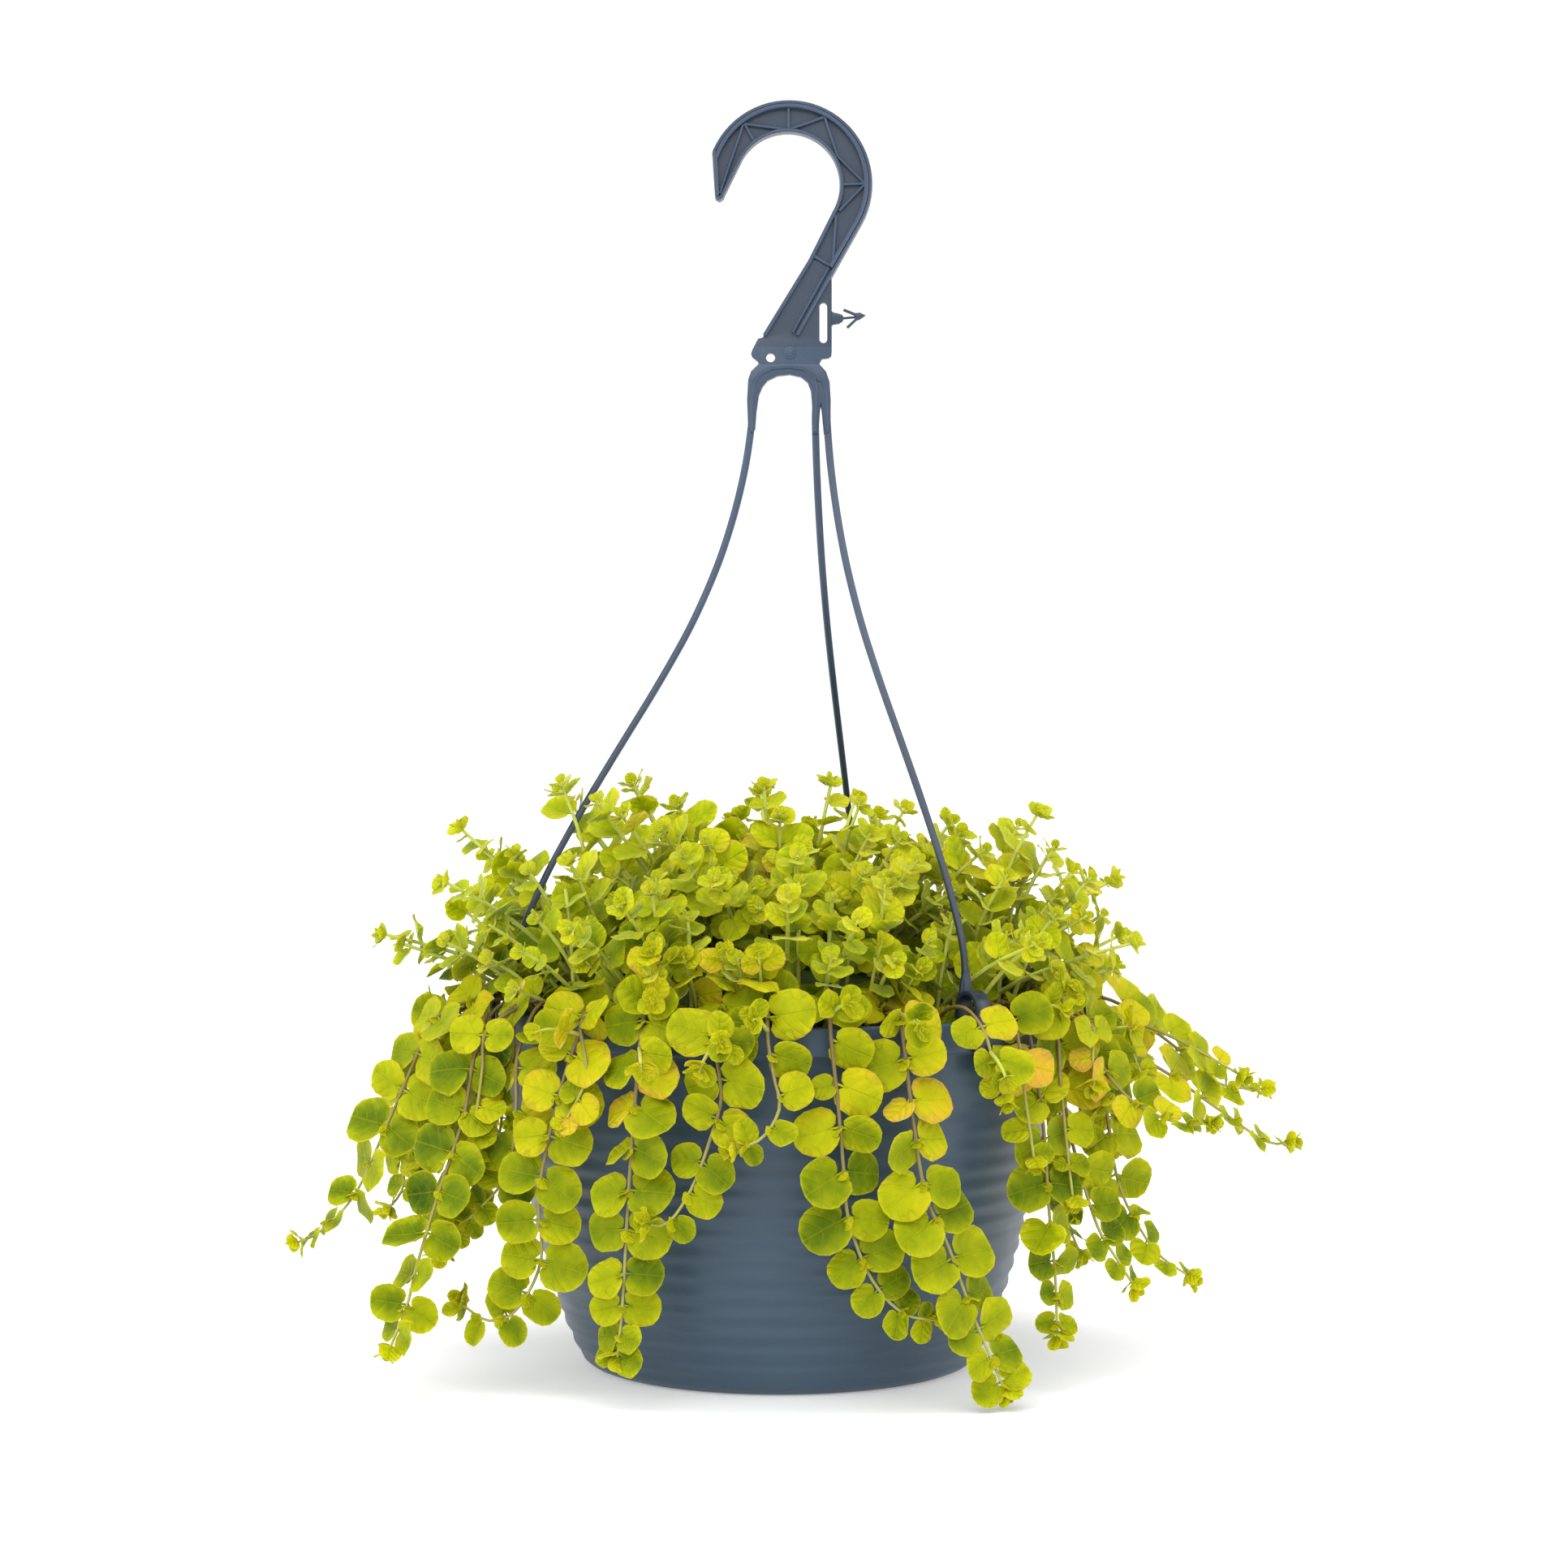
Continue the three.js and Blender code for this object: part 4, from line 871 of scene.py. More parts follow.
# %% The rule that settles the leaves one after another
class Settler:
    def __init__(self):
        self.leaves = []
        none, nowhere = np.zeros(0), np.zeros((0, 3))
        self.room = {"middle": nowhere, "normal": nowhere, "radius": none, "size": none}
        self.obstacles = {"point": nowhere, "reach": none, "owner": np.zeros(0, int)}

    def add_obstacles(self, points, reach, owner):
        held = self.obstacles
        for key, more in (("point", points), ("reach", [float(reach)] * len(points)),
                          ("owner", [owner] * len(points))):
            held[key] = np.concatenate([held[key], more])

    def clear_of_obstacles(self, leaf):
        held = self.obstacles
        apart = held["point"] - leaf["middle"]
        height = apart @ leaf["normal"]
        flat_way = np.sqrt(np.maximum(0, np.sum(apart**2, axis=1) - height**2))
        gap = np.hypot(height, np.maximum(0, flat_way - leaf["radius"]))
        others = held["owner"] != leaf["stem"]["number"]
        return not np.any(others & (gap < held["reach"] * leaf["stem"].get("near", 1)))

    def clear_of_leaves(self, leaf):
        held, ease = self.room, leaf["stem"].get("ease", 1)
        apart = held["middle"] - leaf["middle"]
        reach = ease * (leaf["radius"] + held["radius"])
        close = np.sum(apart**2, axis=1) <= reach**2
        if not close.any():
            return True
        apart, normals, radii = apart[close], held["normal"][close], ease * held["radius"][close]
        radius = ease * leaf["radius"]
        line = np.cross(leaf["normal"], normals)
        slope = np.maximum(0.001, np.linalg.norm(line, axis=1))
        depth = 0.2 + (LEAF_FOLD / 4) * (leaf["size"] + held["size"][close])
        mine = np.maximum(0, np.abs(np.sum(apart * normals, axis=1)) - depth) / slope
        yours = np.maximum(0, np.abs(apart @ leaf["normal"]) - depth) / slope
        meets = (mine <= radius) & (yours <= radii)
        chords = np.sqrt(np.maximum(0, radius**2 - mine**2))
        chords += np.sqrt(np.maximum(0, radii**2 - yours**2))
        return not np.any(meets & (np.abs(np.sum(apart * line, axis=1)) / slope < chords))

    def fits(self, leaf):
        edge = blade_edge(leaf)
        if any(blocked(point, leaf["stem"]) for point in edge):
            return False
        if any(np.dot(point - leaf["at"], leaf["side"]) < STEM_RADIUS + 0.5 for point in edge):
            return False
        return self.clear_of_obstacles(leaf) and self.clear_of_leaves(leaf)

    def settle(self, leaves):
        for leaf in leaves:
            for way in YIELDS:
                tried = posed(leaf, way)
                if self.fits(tried):
                    self.leaves.append(tried)
                    for key, held in self.room.items():
                        self.room[key] = np.concatenate([held, [tried[key]]])
                    break


def number_stems(stems, first=0):
    for number, stem in enumerate(stems, first):
        stem["number"] = number
        settler.add_obstacles(stem["path"].every(3), 2.4, number)


HANGER_NUMBER = -2
settler = Settler()
stems = cad_stems()
number_stems(stems)
for index, azimuth in enumerate(LEG_AZIMUTHS):
    settler.add_obstacles(leg_path(index).every(3), 3, HANGER_NUMBER)
    spots = [place(azimuth, CLIP_MIDDLE, z) for z in np.arange(CLIP_FOOT, CLIP_TOP + 0.1, 4)]
    settler.add_obstacles(spots, 8.5, HANGER_NUMBER)
settler.settle([leaf for stem in stems for leaf in leaves_of(stem)] + core_leaves())
print("stems:", len(stems), "leaves of the solids:", len(settler.leaves))

# %% [markdown]
# ## More stems than the solids carry
# On the real plant the soil can't be seen for shoots, and more stems spill over the rim between the long
# strands. Those at the two sides are placed one by one, where the photograph shows curtains of leaves, and
# so are the shoots that draw the plant's outline. The rest are spread by the golden angle and a seeded
# draw, evenly but not in rows. Deep in the plant leaves press on each other, so these stems may stand a
# little closer.

# %% Side strands: azimuth, radius below the rim, radius and height at the end
SIDE_STRANDS = [
    (295, 137, 144, 66), (282, 137, 149, 48), (275, 146, 158, 84), (314, 135, 141, 84), (262, 140, 152, 52),
    (286, 150, 168, 96), (304, 146, 150, 98), (271, 138, 143, 104),
    (57, 137, 143, 78), (70, 141, 146, 116), (80, 150, 160, 126), (92, 148, 204, 124), (46, 135, 139, 96),
    (104, 142, 156, 112), (64, 146, 150, 126), (89, 139, 146, 92), (96, 152, 160, 124), (74, 136, 140, 104),
    (126, 136, 143, 60), (155, 135, 140, 76), (187, 135, 141, 92), (243, 137, 146, 70), (221, 136, 140, 96),
]


def side_route(azimuth, out, end, low, draw):
    bend = 7 * (draw() - 0.5)
    places = [(azimuth, out, 151)]
    for share in (0.3, 0.65, 1):
        radius = out + (end - out) * share ** (0.8 if end - out > 25 else 1.2)
        places.append((azimuth + bend * share, radius, 151 - (151 - low) * share))
    return places


# %% Tips of the shoots that draw the outline: how far to the right, back and up
OUTLINE_TIPS = [
    (-95, -20, 254), (-93, 10, 244), (-79, -35, 246), (-66, 20, 252), (-68, -40, 240), (-45, 0, 244),
    (-50, -50, 234), (-31, -60, 229), (-20, 25, 239), (0, -30, 240), (14, 10, 236), (35, -20, 245),
    (46, 30, 239), (52, -40, 230), (67, -10, 226), (81, 20, 229), (88, -35, 225), (105, 0, 235),
    (119, -20, 226), (131, 20, 215), (134, -30, 213), (149, -20, 188), (150, 10, 172), (-130, 10, 222),
    (-116, -20, 224), (-107, -50, 217), (-145, 15, 200), (-131, -30, 207), (-165, -20, 184),
    (-156, -10, 170), (-144, -40, 186), (113, -50, 196), (96, -55, 215), (129, -45, 193), (-89, -60, 221),
    (-102, -70, 197), (-123, -60, 180),
]


def to_polar(x, y, z):
    return math.degrees(math.atan2(x, -y)), math.hypot(x, y), z


# %% The kinds of added stems, and their routes
GOLDEN = 360 * 0.618034
RIM_HOSTS = [2, 3, 4, 5, 6, 7, 8, 9, 10, 11, 16, 12]  # the strands that the sprigs branch from
CROWN_REACH, EDGE_LOW = 96, 168
# For each kind: how many, the first stem's seed and the step to the next, the seed of the whole
# piece, whether it hangs or stands, and its habits. A stem is bare at its foot and its leaves
# shrink over a length at its tip. ease is how closely leaves may stand, turned how far they look to
# the front, wild how unevenly they turn and glance how much they look up.
HABITS = ("bare", "taper", "leaf", "spacing", "ease", "turned", "wild", "glance")
KINDS = {
    "side_strands": (len(SIDE_STRANDS), 21000, 37, 719, HANGING, (10, 55, 19, 17, 0.9, 0)),
    "outline_shoots": (len(OUTLINE_TIPS), 31000, 17, 727, STANDING,
                       (7, 12, 15, 9.5, 0.75, 0.5, 0.7, 0.8)),
    "rim_shoots": (26, 37000, 13, 769, STANDING, (6, 18, 15.5, 10, 0.7, 0, 0.7, 0.45)),
    "rim_sprigs": (30, 39000, 11, 773, STANDING, (5, 14, 15.5, 8.5, 0.7, 0, 0.8, 0.2)),
    "rim_spills": (30, 11000, 31, 733, HANGING, (12, 30, 17, 11.5, 0.8, 0)),
    "edge_shoots": (96, 26000, 19, 741, STANDING, (12, 22, 14.5, 9.5, 0.8, 0.6, 0.9, 0.7)),
    "low_shoots": (96, 14000, 29, 747, STANDING, (7, 20, 15, 9, 0.8, 0.6, 0.9, 0.75)),
    "crown_shoots": (60, 17000, 23, 761, STANDING, (8, 20, 14.5, 9, 0.8, 0.4, 0.9, 0.8)),
}


def mound_height(radius):
    return float(np.interp(radius, [0, 60, 90, 115, 140, 165], [233, 231, 225, 213, 198, 175]))


def part_way(low, high, share):
    return low + (high - low) * share


def added_route(name, i, count, draw):
    """A stem's path, and what differs from the rest of its kind."""
    if name == "side_strands":
        azimuth, out, end, low = SIDE_STRANDS[i]
        route = side_route(azimuth, out, end, low, draw)
        facing = end * (0.6 + 0.6 * draw())
        facing *= 1 if math.cos(math.radians(azimuth)) > FRONT_HALF else -0.3
        return strand_route(route, i), {"facing": facing}
    if name == "outline_shoots":
        tip = to_polar(*OUTLINE_TIPS[i])
        if tip[1] < CROWN_REACH:
            return upright_route(tip), {"core": True}
        return arching_route(tip, min(108, 0.78 * tip[1])), {}
    if name == "rim_shoots":
        azimuth, root = -66 + 132 * ((GOLDEN * i / 360) % 1), 100 + 8 * draw()
        return arching_route((azimuth, 120 + 14 * draw(), 156 + 34 * draw() ** 1.3), root), {}
    if name == "rim_sprigs":
        host = stems[RIM_HOSTS[i % len(RIM_HOSTS)]]["path"]
        at = host.at((36 + 26 * draw()) / host.length)
        outward = outwards(at)
        way = outward + (draw() - 0.5) * 1.5 * np.array([-outward[1], outward[0], 0])
        way = unit(way + [0, 0, 0.6 - 1.8 * draw()]) * (13 + 9 * draw())
        return Path([at, at + way * 0.4 + [0, 0, 1.5], at + way * 0.75 + [0, 0, 1.5], at + way]), {}
    if name == "rim_spills":
        azimuth, drop = 28 + 304 * (i + 0.3 * draw()) / count, 14 + 44 * draw() ** 1.5
        root, out = 98 + 8 * draw(), 129 + 6 * draw()
        return Path([
            *root_points(azimuth, root), place(azimuth, 116, RIM_TOP + 5 + 4 * draw()),
            place(azimuth, out, RIM_TOP + 1),
            place(azimuth + 3 * draw(), out + 4, RIM_TOP - drop * 0.5),
            place(azimuth + 8 * (draw() - 0.5), out + 5 + 6 * draw(), RIM_TOP - drop)]), {}
    if name == "edge_shoots":
        azimuth, root = 36 + (GOLDEN * i) % 288, 88 + 20 * draw()
        radius = 120 + (36 if i % 3 else 26) * draw()
        share = 0.25 + 0.75 * draw() if i % 3 else 0.15 * draw()
        height = part_way(EDGE_LOW, mound_height(radius), share)
        return arching_route((azimuth, radius, height), root), {}
    if name == "low_shoots":
        root = 84 + 28 * draw()
        radius = root + 4 + 24 * draw()
        height = part_way(SOIL_TOP, mound_height(radius), 0.35 + 0.6 * draw())
        return arching_route((GOLDEN * i, radius, height), root), {}
    radius = 100 * math.sqrt((i + 0.5) / count)
    height = part_way(core_top(radius * 0.6), mound_height(radius), 0.5 + 0.5 * draw())
    return upright_route((GOLDEN * i + 40, radius, height)), {"core": True}


def extra_stems():
    draw, made = drawer(90001), []
    for name, (count, seed, step, _, kind, habits) in KINDS.items():
        for i in range(count):
            path, own = added_route(name, i, count, draw)
            stem = {**kind, **dict(zip(HABITS, habits))}
            tip = path.at(1.0)
            facing = stem["turned"] * math.hypot(tip[0], tip[1]) if tip[1] < 30 else 0
            made.append({**stem, "name": name, "path": path, "seed": seed + step * i, "near": 0.5,
                         "facing": facing, **own})
    return made


extras = extra_stems()
number_stems(extras, len(stems))
settler.settle([leaf for stem in extras for leaf in leaves_of(stem)])
print("added stems:", len(extras), "leaves in all:", len(settler.leaves))

# %% Leaves that would hide what the photograph shows, and stems left too bare
# The photograph shows each leg down to some height, the right clip bare and the rim band in part
LEG_SEEN_FROM = {41: 176, 281: 184, 161: 245}
CLIP_SEEN, CLIP_SEEN_SPAN, CLIP_SEEN_HEIGHTS = (79, -92), 13, (143, 176)
RIM_SEEN_HEIGHTS, THINNED_LEFT, THINNED_RIGHT, THINNED_FROM = (137, 161), 0.85, 0.5, -50
BOLD_TIPS, BOLD_LENGTH, BOLD_GROWTH = ("strand_02", "strand_06", "strand_10"), 50, 0.45


def on_picture(point):
    """Where a point is seen from the camera, on the upright plane through the pot's axis."""
    share = -CAMERA_PLACE[1] / (point[1] - CAMERA_PLACE[1])
    return np.array([CAMERA_PLACE[k] + (point[k] - CAMERA_PLACE[k]) * share for k in (0, 2)])


def legs_in_view():
    spots = [point for index, azimuth in enumerate(LEG_AZIMUTHS)
             for point in leg_path(index).every(3) if point[2] > LEG_SEEN_FROM[azimuth]]
    return np.array([(*on_picture(point), point[1]) for point in spots])


def hides_hanger(leaf):
    (x, y, z), (clip_x, clip_y) = leaf["middle"], CLIP_SEEN
    beside = abs(x - clip_x - (y - clip_y) * 0.06)
    if y < -84 and beside < CLIP_SEEN_SPAN and CLIP_SEEN_HEIGHTS[0] < z < CLIP_SEEN_HEIGHTS[1]:
        return True
    seen = on_picture(leaf["middle"])
    apart = np.hypot(in_view[:, 0] - seen[0], in_view[:, 1] - seen[1])
    return bool(np.any((apart < 0.4 * leaf["size"] + 2) & (in_view[:, 2] > y + 2)))


def hides_rim(leaf):
    """The rim band shows between the strands, so fewer of the added leaves lie over it."""
    x, y, z = leaf["middle"]
    over = y < -70 and RIM_SEEN_HEIGHTS[0] < z < RIM_SEEN_HEIGHTS[1]
    over = over and leaf["stem"]["name"].startswith("rim")
    return over and rim_draw() < (THINNED_LEFT if x < THINNED_FROM else THINNED_RIGHT)


def belongs(leaf):
    """Every second pair of the strands' leaves is in the solids and stays. The others may go."""
    solid = leaf["stem"]["number"] < len(stems) and leaf["pair"] % 2 == 0
    return solid or not (hides_hanger(leaf) or hides_rim(leaf))


def grown(leaf):
    """Some strands keep large leaves right to the tip."""
    if leaf["stem"]["name"] not in BOLD_TIPS:
        return leaf
    left = leaf["stem"]["path"].length * (1 - leaf["share"])
    return {**leaf, "size": leaf["size"] * (1 + BOLD_GROWTH * max(0.0, 1 - left / BOLD_LENGTH))}


def leafy_enough(stem):
    return carried.count(stem["number"]) > (1 if stem["name"] == "rim_sprigs" else 2)


in_view, rim_draw = legs_in_view(), drawer(61)
settler.leaves = [grown(leaf) for leaf in settler.leaves if belongs(leaf)]
carried = [leaf["stem"]["number"] for leaf in settler.leaves]
extras = [stem for stem in extras if leafy_enough(stem)]
print("kept stems:", len(extras), "leaves:", len(settler.leaves))

# %% [markdown]
# ## The leaf
# A creeping jenny leaf is almost round, a little heart-shaped at its foot, folded along its
# midrib and wavy at its edge. A texture on a flat card would do from the front, but these leaves
# are seen from the side too, so each is a closed slab of 77 faces that thins to nothing at
# its edge, on a short stalk. Eight forms, cupped, rolled back or twisted, are enough for no two
# neighbours to look alike.

# %% Leaf variants, one unit long
LEAF_THICKNESS = 0.026
# How far each is cupped, rolled back at its sides, curled and twisted
LEAF_FORMS = [
    (0.05, 0.0, 0.02, 0.0), (0.3, 0.0, 0.06, 0.1), (-0.12, 0.1, 0.12, -0.08),
    (0.16, 0.12, -0.05, 0.16), (0.02, 0.26, 0.2, 0.05), (0.42, 0.1, 0.1, -0.14),
    (-0.06, 0.2, 0.04, -0.2), (0.2, 0.3, 0.16, 0.0),
]
# The edge as (half width, length), and how far along each row meets the midrib
LEAF_EDGE = [(0, 0.19), (0.1, 0.075), (0.245, 0.04), (0.385, 0.115), (0.475, 0.28), (0.505, 0.48),
             (0.475, 0.68), (0.375, 0.85), (0.21, 0.965), (0, 1)]
LEAF_RIB = [0.19, 0.205, 0.24, 0.32, 0.43, 0.55, 0.68, 0.8, 0.92, 1]
COLUMN_REACH, COLUMN_EDGE = (0, 0.54, 1), (0, 0.5, 1)


def leaf_variant(index):
    draw = drawer(400 + 17 * index)
    cup, rolled, curl, twist = LEAF_FORMS[index]
    phase, wave = 6.28 * draw(), 0.026 + 0.026 * draw()
    lean, width = 0.08 * (draw() - 0.5), 0.95 + 0.09 * draw()
    turns = [6.28 * draw() for _ in range(4)]
    points, rims, maps, faces, shared = [], [], [], [], {}

    def add(point, rim, spot):
        points.append(point)
        rims.append(rim)
        maps.append(spot)

    def blade_point(x, y, edge, layer):
        ripple = wave * edge**2 * math.sin(phase + 10 * y + 5 * x)
        bowl = cup * (x * x + 0.5 * (y - 0.5) ** 2) - 0.12 * cup - 4.5 * rolled * abs(x) ** 3
        bowl += twist * x * (y - 0.5) - curl * max(0, y - 0.45) ** 2
        thin = layer * 0.5 * LEAF_THICKNESS * (1 - edge)
        height = LEAF_FOLD * abs(x) + ripple + bowl * min(1, 3 * y) + thin
        add((width * x + lean * y * y, y, height), edge, (0.5 + x, y))

    def corner(side, row, column, layer):
        """Column 0 is the midrib, 1 is half-way out and 2 is the edge, where the layers meet."""
        if row in (0, len(LEAF_EDGE) - 1):
            side, column = 0, 2
        key = (side if column else 0, row, column, 0 if column == 2 else layer)
        if key not in shared:
            shared[key] = len(points)
            x, y = LEAF_EDGE[row]
            first, second = turns[:2] if side > 0 else turns[2:]
            x *= 1 + 0.035 * math.sin(first + 5 * y) + 0.02 * math.sin(second + 11 * y)
            reach = COLUMN_REACH[column]
            height = LEAF_RIB[row] + (y - LEAF_RIB[row]) * reach
            blade_point(side * x * reach, height, COLUMN_EDGE[column], layer)
        return shared[key]

    for layer in (1, -1):
        for side in (1, -1):
            for row in range(len(LEAF_EDGE) - 1):
                for column in (0, 1):
                    around = ((0, 0), (0, 1), (1, 1), (1, 0))
                    ring = [corner(side, row + down, column + out, layer) for down, out in around]
                    ring = list(dict.fromkeys(ring))
                    if len(ring) > 2:
                        faces.append(ring if layer * side > 0 else ring[::-1])
    a, b, c, d, e, f = range(len(points), len(points) + 6)
    for y in (-0.05, 0.24):
        for angle in (90, 210, 330):
            turn = math.radians(angle)
            spot = (0.036 * math.cos(turn) + lean * y * y, y, 0.036 * math.sin(turn) - 0.01)
            add(spot, 0.2, (0.5, 0.02))
    faces += [[a, b, c], [d, f, e], [a, d, e, b], [b, e, f, c], [c, f, d, a]]
    return points, faces, rims, maps


def make_leaf(index, home):
    points, faces, rims, maps = leaf_variant(index)
    mesh = bpy.data.meshes.new(f"leaf_{index}")
    mesh.from_pydata(points, [], faces)
    shape = bmesh.new()
    shape.from_mesh(mesh)
    bmesh.ops.recalc_face_normals(shape, faces=shape.faces)
    shape.to_mesh(mesh)
    shape.free()
    mesh.polygons.foreach_set("use_smooth", [True] * len(mesh.polygons))
    mesh.attributes.new("rim", "FLOAT", "POINT").data.foreach_set("value", rims)
    corners = np.array([maps[loop.vertex_index] for loop in mesh.loops], float)
    mesh.uv_layers.new(name="leaf_map").data.foreach_set("uv", corners.ravel())
    sharp = [min(rims[vertex] for vertex in edge.vertices) > 0.99 for edge in mesh.edges]
    mesh.attributes.new("sharp_edge", "BOOLEAN", "EDGE").data.foreach_set("value", sharp)
    home.objects.link(bpy.data.objects.new(f"leaf_{index}", mesh))
    return len(faces)


leaf_shapes = bpy.data.collections.new("leaf_shapes")
bpy.context.scene.collection.children.link(leaf_shapes)
print("leaf faces:", [make_leaf(index, leaf_shapes) for index in range(len(LEAF_FORMS))])

# %% [markdown]
# ## Leaf and stem finishes
# A leaf's colour runs from deep green in the shade through lime to yellow, with an orange tinge on
# the oldest ones at the rim. Its tint is drawn leaf by leaf and kept as an attribute. The leaf's
# own map places a paler midrib, side veins that sweep forwards and a thin pale edge. Light
# passes through such a thin blade, and a little subsurface scattering gives that glow.

# %% Leaf finish
LEAF_HUES = [
    (0.0, (0.03, 0.072, 0.003)), (0.2, (0.1, 0.152, 0.003)), (0.42, (0.235, 0.276, 0.003)),
    (0.62, (0.365, 0.385, 0.005)), (0.8, (0.48, 0.42, 0.01)), (1.0, (0.6, 0.33, 0.045)),
]
VEIN_COLOUR, EDGE_COLOUR = (0.52, 0.56, 0.008, 1), (0.56, 0.48, 0.012, 1)
SIDE_VEINS, VEIN_SHARE, EDGE_SHARE = 3.6, 0.2, 0.5


def leaf_finish(name, sheen, brighter):
    made, tree = new_finish(
        name, Roughness=0.44, Specular_IOR_Level=0.05, Sheen_Weight=sheen, Sheen_Roughness=0.3,
        Subsurface_Weight=0.5, Subsurface_Scale=0.0015, Subsurface_Radius=(1.0, 1.0, 0.2))

    def line(distance, sharpness):
        """1 on a line and 0 beside it."""
        near = tree.math("SUBTRACT", 1.0, tree.times(distance, sharpness))
        return tree.math("MAXIMUM", near, 0.0)

    tint, rim = tree.attribute("tint"), tree.attribute("rim")
    x, y, _ = tree.split(tree.add("ShaderNodeUVMap", uv_map="leaf_map"))
    across = tree.math("ABSOLUTE", tree.math("SUBTRACT", x, 0.5))
    forward = tree.math("SUBTRACT", y, tree.times(across, tree.times(across, 1.3, 0.35)))
    wave = tree.math("PINGPONG", tree.times(forward, SIDE_VEINS), 0.5)
    side_vein, midrib = line(wave, 9.0), line(across, 32.0)
    vein = tree.math("MAXIMUM", tree.times(side_vein, 0.45), midrib)
    mottle = tree.times(tree.noise(75, 3), 0.5, tree.math("SUBTRACT", tint, 0.31))
    mottle = tree.times(tree.noise(420, 2), 0.12, mottle)
    margin = tree.times(tree.math("POWER", rim, 1.8), 0.24, -0.07)
    hues = [(stop, tuple(a * b for a, b in zip(hue, brighter))) for stop, hue in LEAF_HUES]
    body = tree.ramp(tree.math("ADD", mottle, margin), hues)
    body = tree.mix(tree.times(vein, VEIN_SHARE), body, VEIN_COLOUR)
    body = tree.mix(tree.spread(rim, (0.9, 0.99), (0.0, EDGE_SHARE)), body, EDGE_COLOUR)
    pillow = tree.times(wave, 1.5, tree.times(side_vein, -0.4))
    height = tree.math("ADD", tree.math("SUBTRACT", pillow, midrib), tree.noise(380, 2))
    tree.coat(body, height, 0.8, 0.0004)
    return made


STRAND_LEAF = leaf_finish("strand_leaf", 0.01, (1.08, 1.06, 0.8))
# The shoots' finish is a brighter copy of the strands'. The extra brightness is painted light on the
# crown's upright leaves.
SHOOT_LEAF_FINISH = leaf_finish("shoot_leaf", 0.2, (1.25, 1.31, 1.0))
print("leaf finishes ready")

# %% Stem finish: woody and brown at the root, pale yellow-green towards the tip
STEM_HUES = [(0.2, (0.12, 0.08, 0.028)), (0.5, (0.23, 0.18, 0.045)), (0.78, (0.4, 0.4, 0.06)),
             (0.94, (0.53, 0.6, 0.09))]
STEM, tree = new_finish("green_stem", Roughness=0.5)
age = tree.times(tree.noise(220, 3), 0.2, tree.times(tree.attribute("along"), 0.7))
tree.coat(tree.ramp(age, STEM_HUES), tree.noise(900, 3, (1, 1, 0.2)), 0.3, 0.0002)
print("stem finish ready")

# %% [markdown]
# ## Growing a leafy stem with Geometry Nodes
# Each piece starts as bare points: chains of points along its stems, and one loose point for each
# leaf, with its turn, size, shape and tint as attributes. One node tree does the rest. It sweeps a
# round section along the chains and stands a leaf on every loose point.

# %% The node tree
def geometry_tree(name, *inputs):
    """A tree with geometry in and out and some named inputs. Returns it with both its ends."""
    group = bpy.data.node_groups.new(name, "GeometryNodeTree")
    for label, kind, value in (("Geometry", "Geometry", None), *inputs):
        socket = group.interface.new_socket(label, in_out="INPUT", socket_type=f"NodeSocket{kind}")
        if value is not None:
            socket.default_value = value
    group.interface.new_socket("Geometry", in_out="OUTPUT", socket_type="NodeSocketGeometry")
    tree = Tree(group)
    given, result = tree.node("NodeGroupInput"), tree.node("NodeGroupOutput")
    return tree, given.outputs, result.inputs["Geometry"]


def painted(tree, geometry, finish):
    return tree.add("GeometryNodeSetMaterial", {"Geometry": geometry, "Material": finish})


def scattered(tree, finish, **inputs):
    """Stands shapes on points, makes them real and gives them a finish."""
    inputs = {name.replace("_", " "): value for name, value in inputs.items()}
    stood = tree.add("GeometryNodeInstanceOnPoints", inputs)
    return painted(tree, tree.add("GeometryNodeRealizeInstances", {"Geometry": stood}), finish)


def leafy_tree():
    tree, given, result = geometry_tree(
        "leafy_stem", ("Leaf shapes", "Collection", None), ("Leaf finish", "Material", None),
        ("Stem sides", "Int", 6), ("Stem girth", "Float", 1.0))

    def named(name, kind):
        return tree.add("GeometryNodeInputNamedAttribute", {"Name": name}, data_type=kind)

    parts = tree.node("GeometryNodeSeparateGeometry", {
        "Geometry": given["Geometry"], "Selection": named("is_leaf", "BOOLEAN")}).outputs
    shapes = tree.add("GeometryNodeCollectionInfo", {
        "Collection": given["Leaf shapes"], "Separate Children": True, "Reset Children": True})
    blades = scattered(
        tree, given["Leaf finish"], Instance=shapes, Pick_Instance=True,
        Points=tree.add("GeometryNodeMeshToPoints", {"Mesh": parts["Selection"]}),
        Instance_Index=named("shape", "INT"), Scale=named("size", "FLOAT"),
        Rotation=tree.add("FunctionNodeEulerToRotation", {"Euler": named("turn", "FLOAT_VECTOR")}))
    ring = {"Resolution": given["Stem sides"], "Radius": 1.0}
    tube = tree.add("GeometryNodeCurveToMesh", {
        "Curve": tree.add("GeometryNodeMeshToCurve", {"Mesh": parts["Inverted"]}),
        "Profile Curve": tree.add("GeometryNodeCurvePrimitiveCircle", ring),
        "Scale": tree.times(named("girth", "FLOAT"), given["Stem girth"]), "Fill Caps": True})
    stalks = painted(tree, tree.add("GeometryNodeSetShadeSmooth", {"Geometry": tube}), STEM)
    both = tree.node("GeometryNodeJoinGeometry", {"Geometry": stalks})
    tree.feed(both.inputs["Geometry"], blades)
    tree.feed(result, both.outputs["Geometry"])
    return tree.tree


LEAFY = leafy_tree()
SOCKETS = {socket.name: socket.identifier for socket in LEAFY.interface.items_tree}
print("node tree ready:", len(LEAFY.nodes), "nodes")
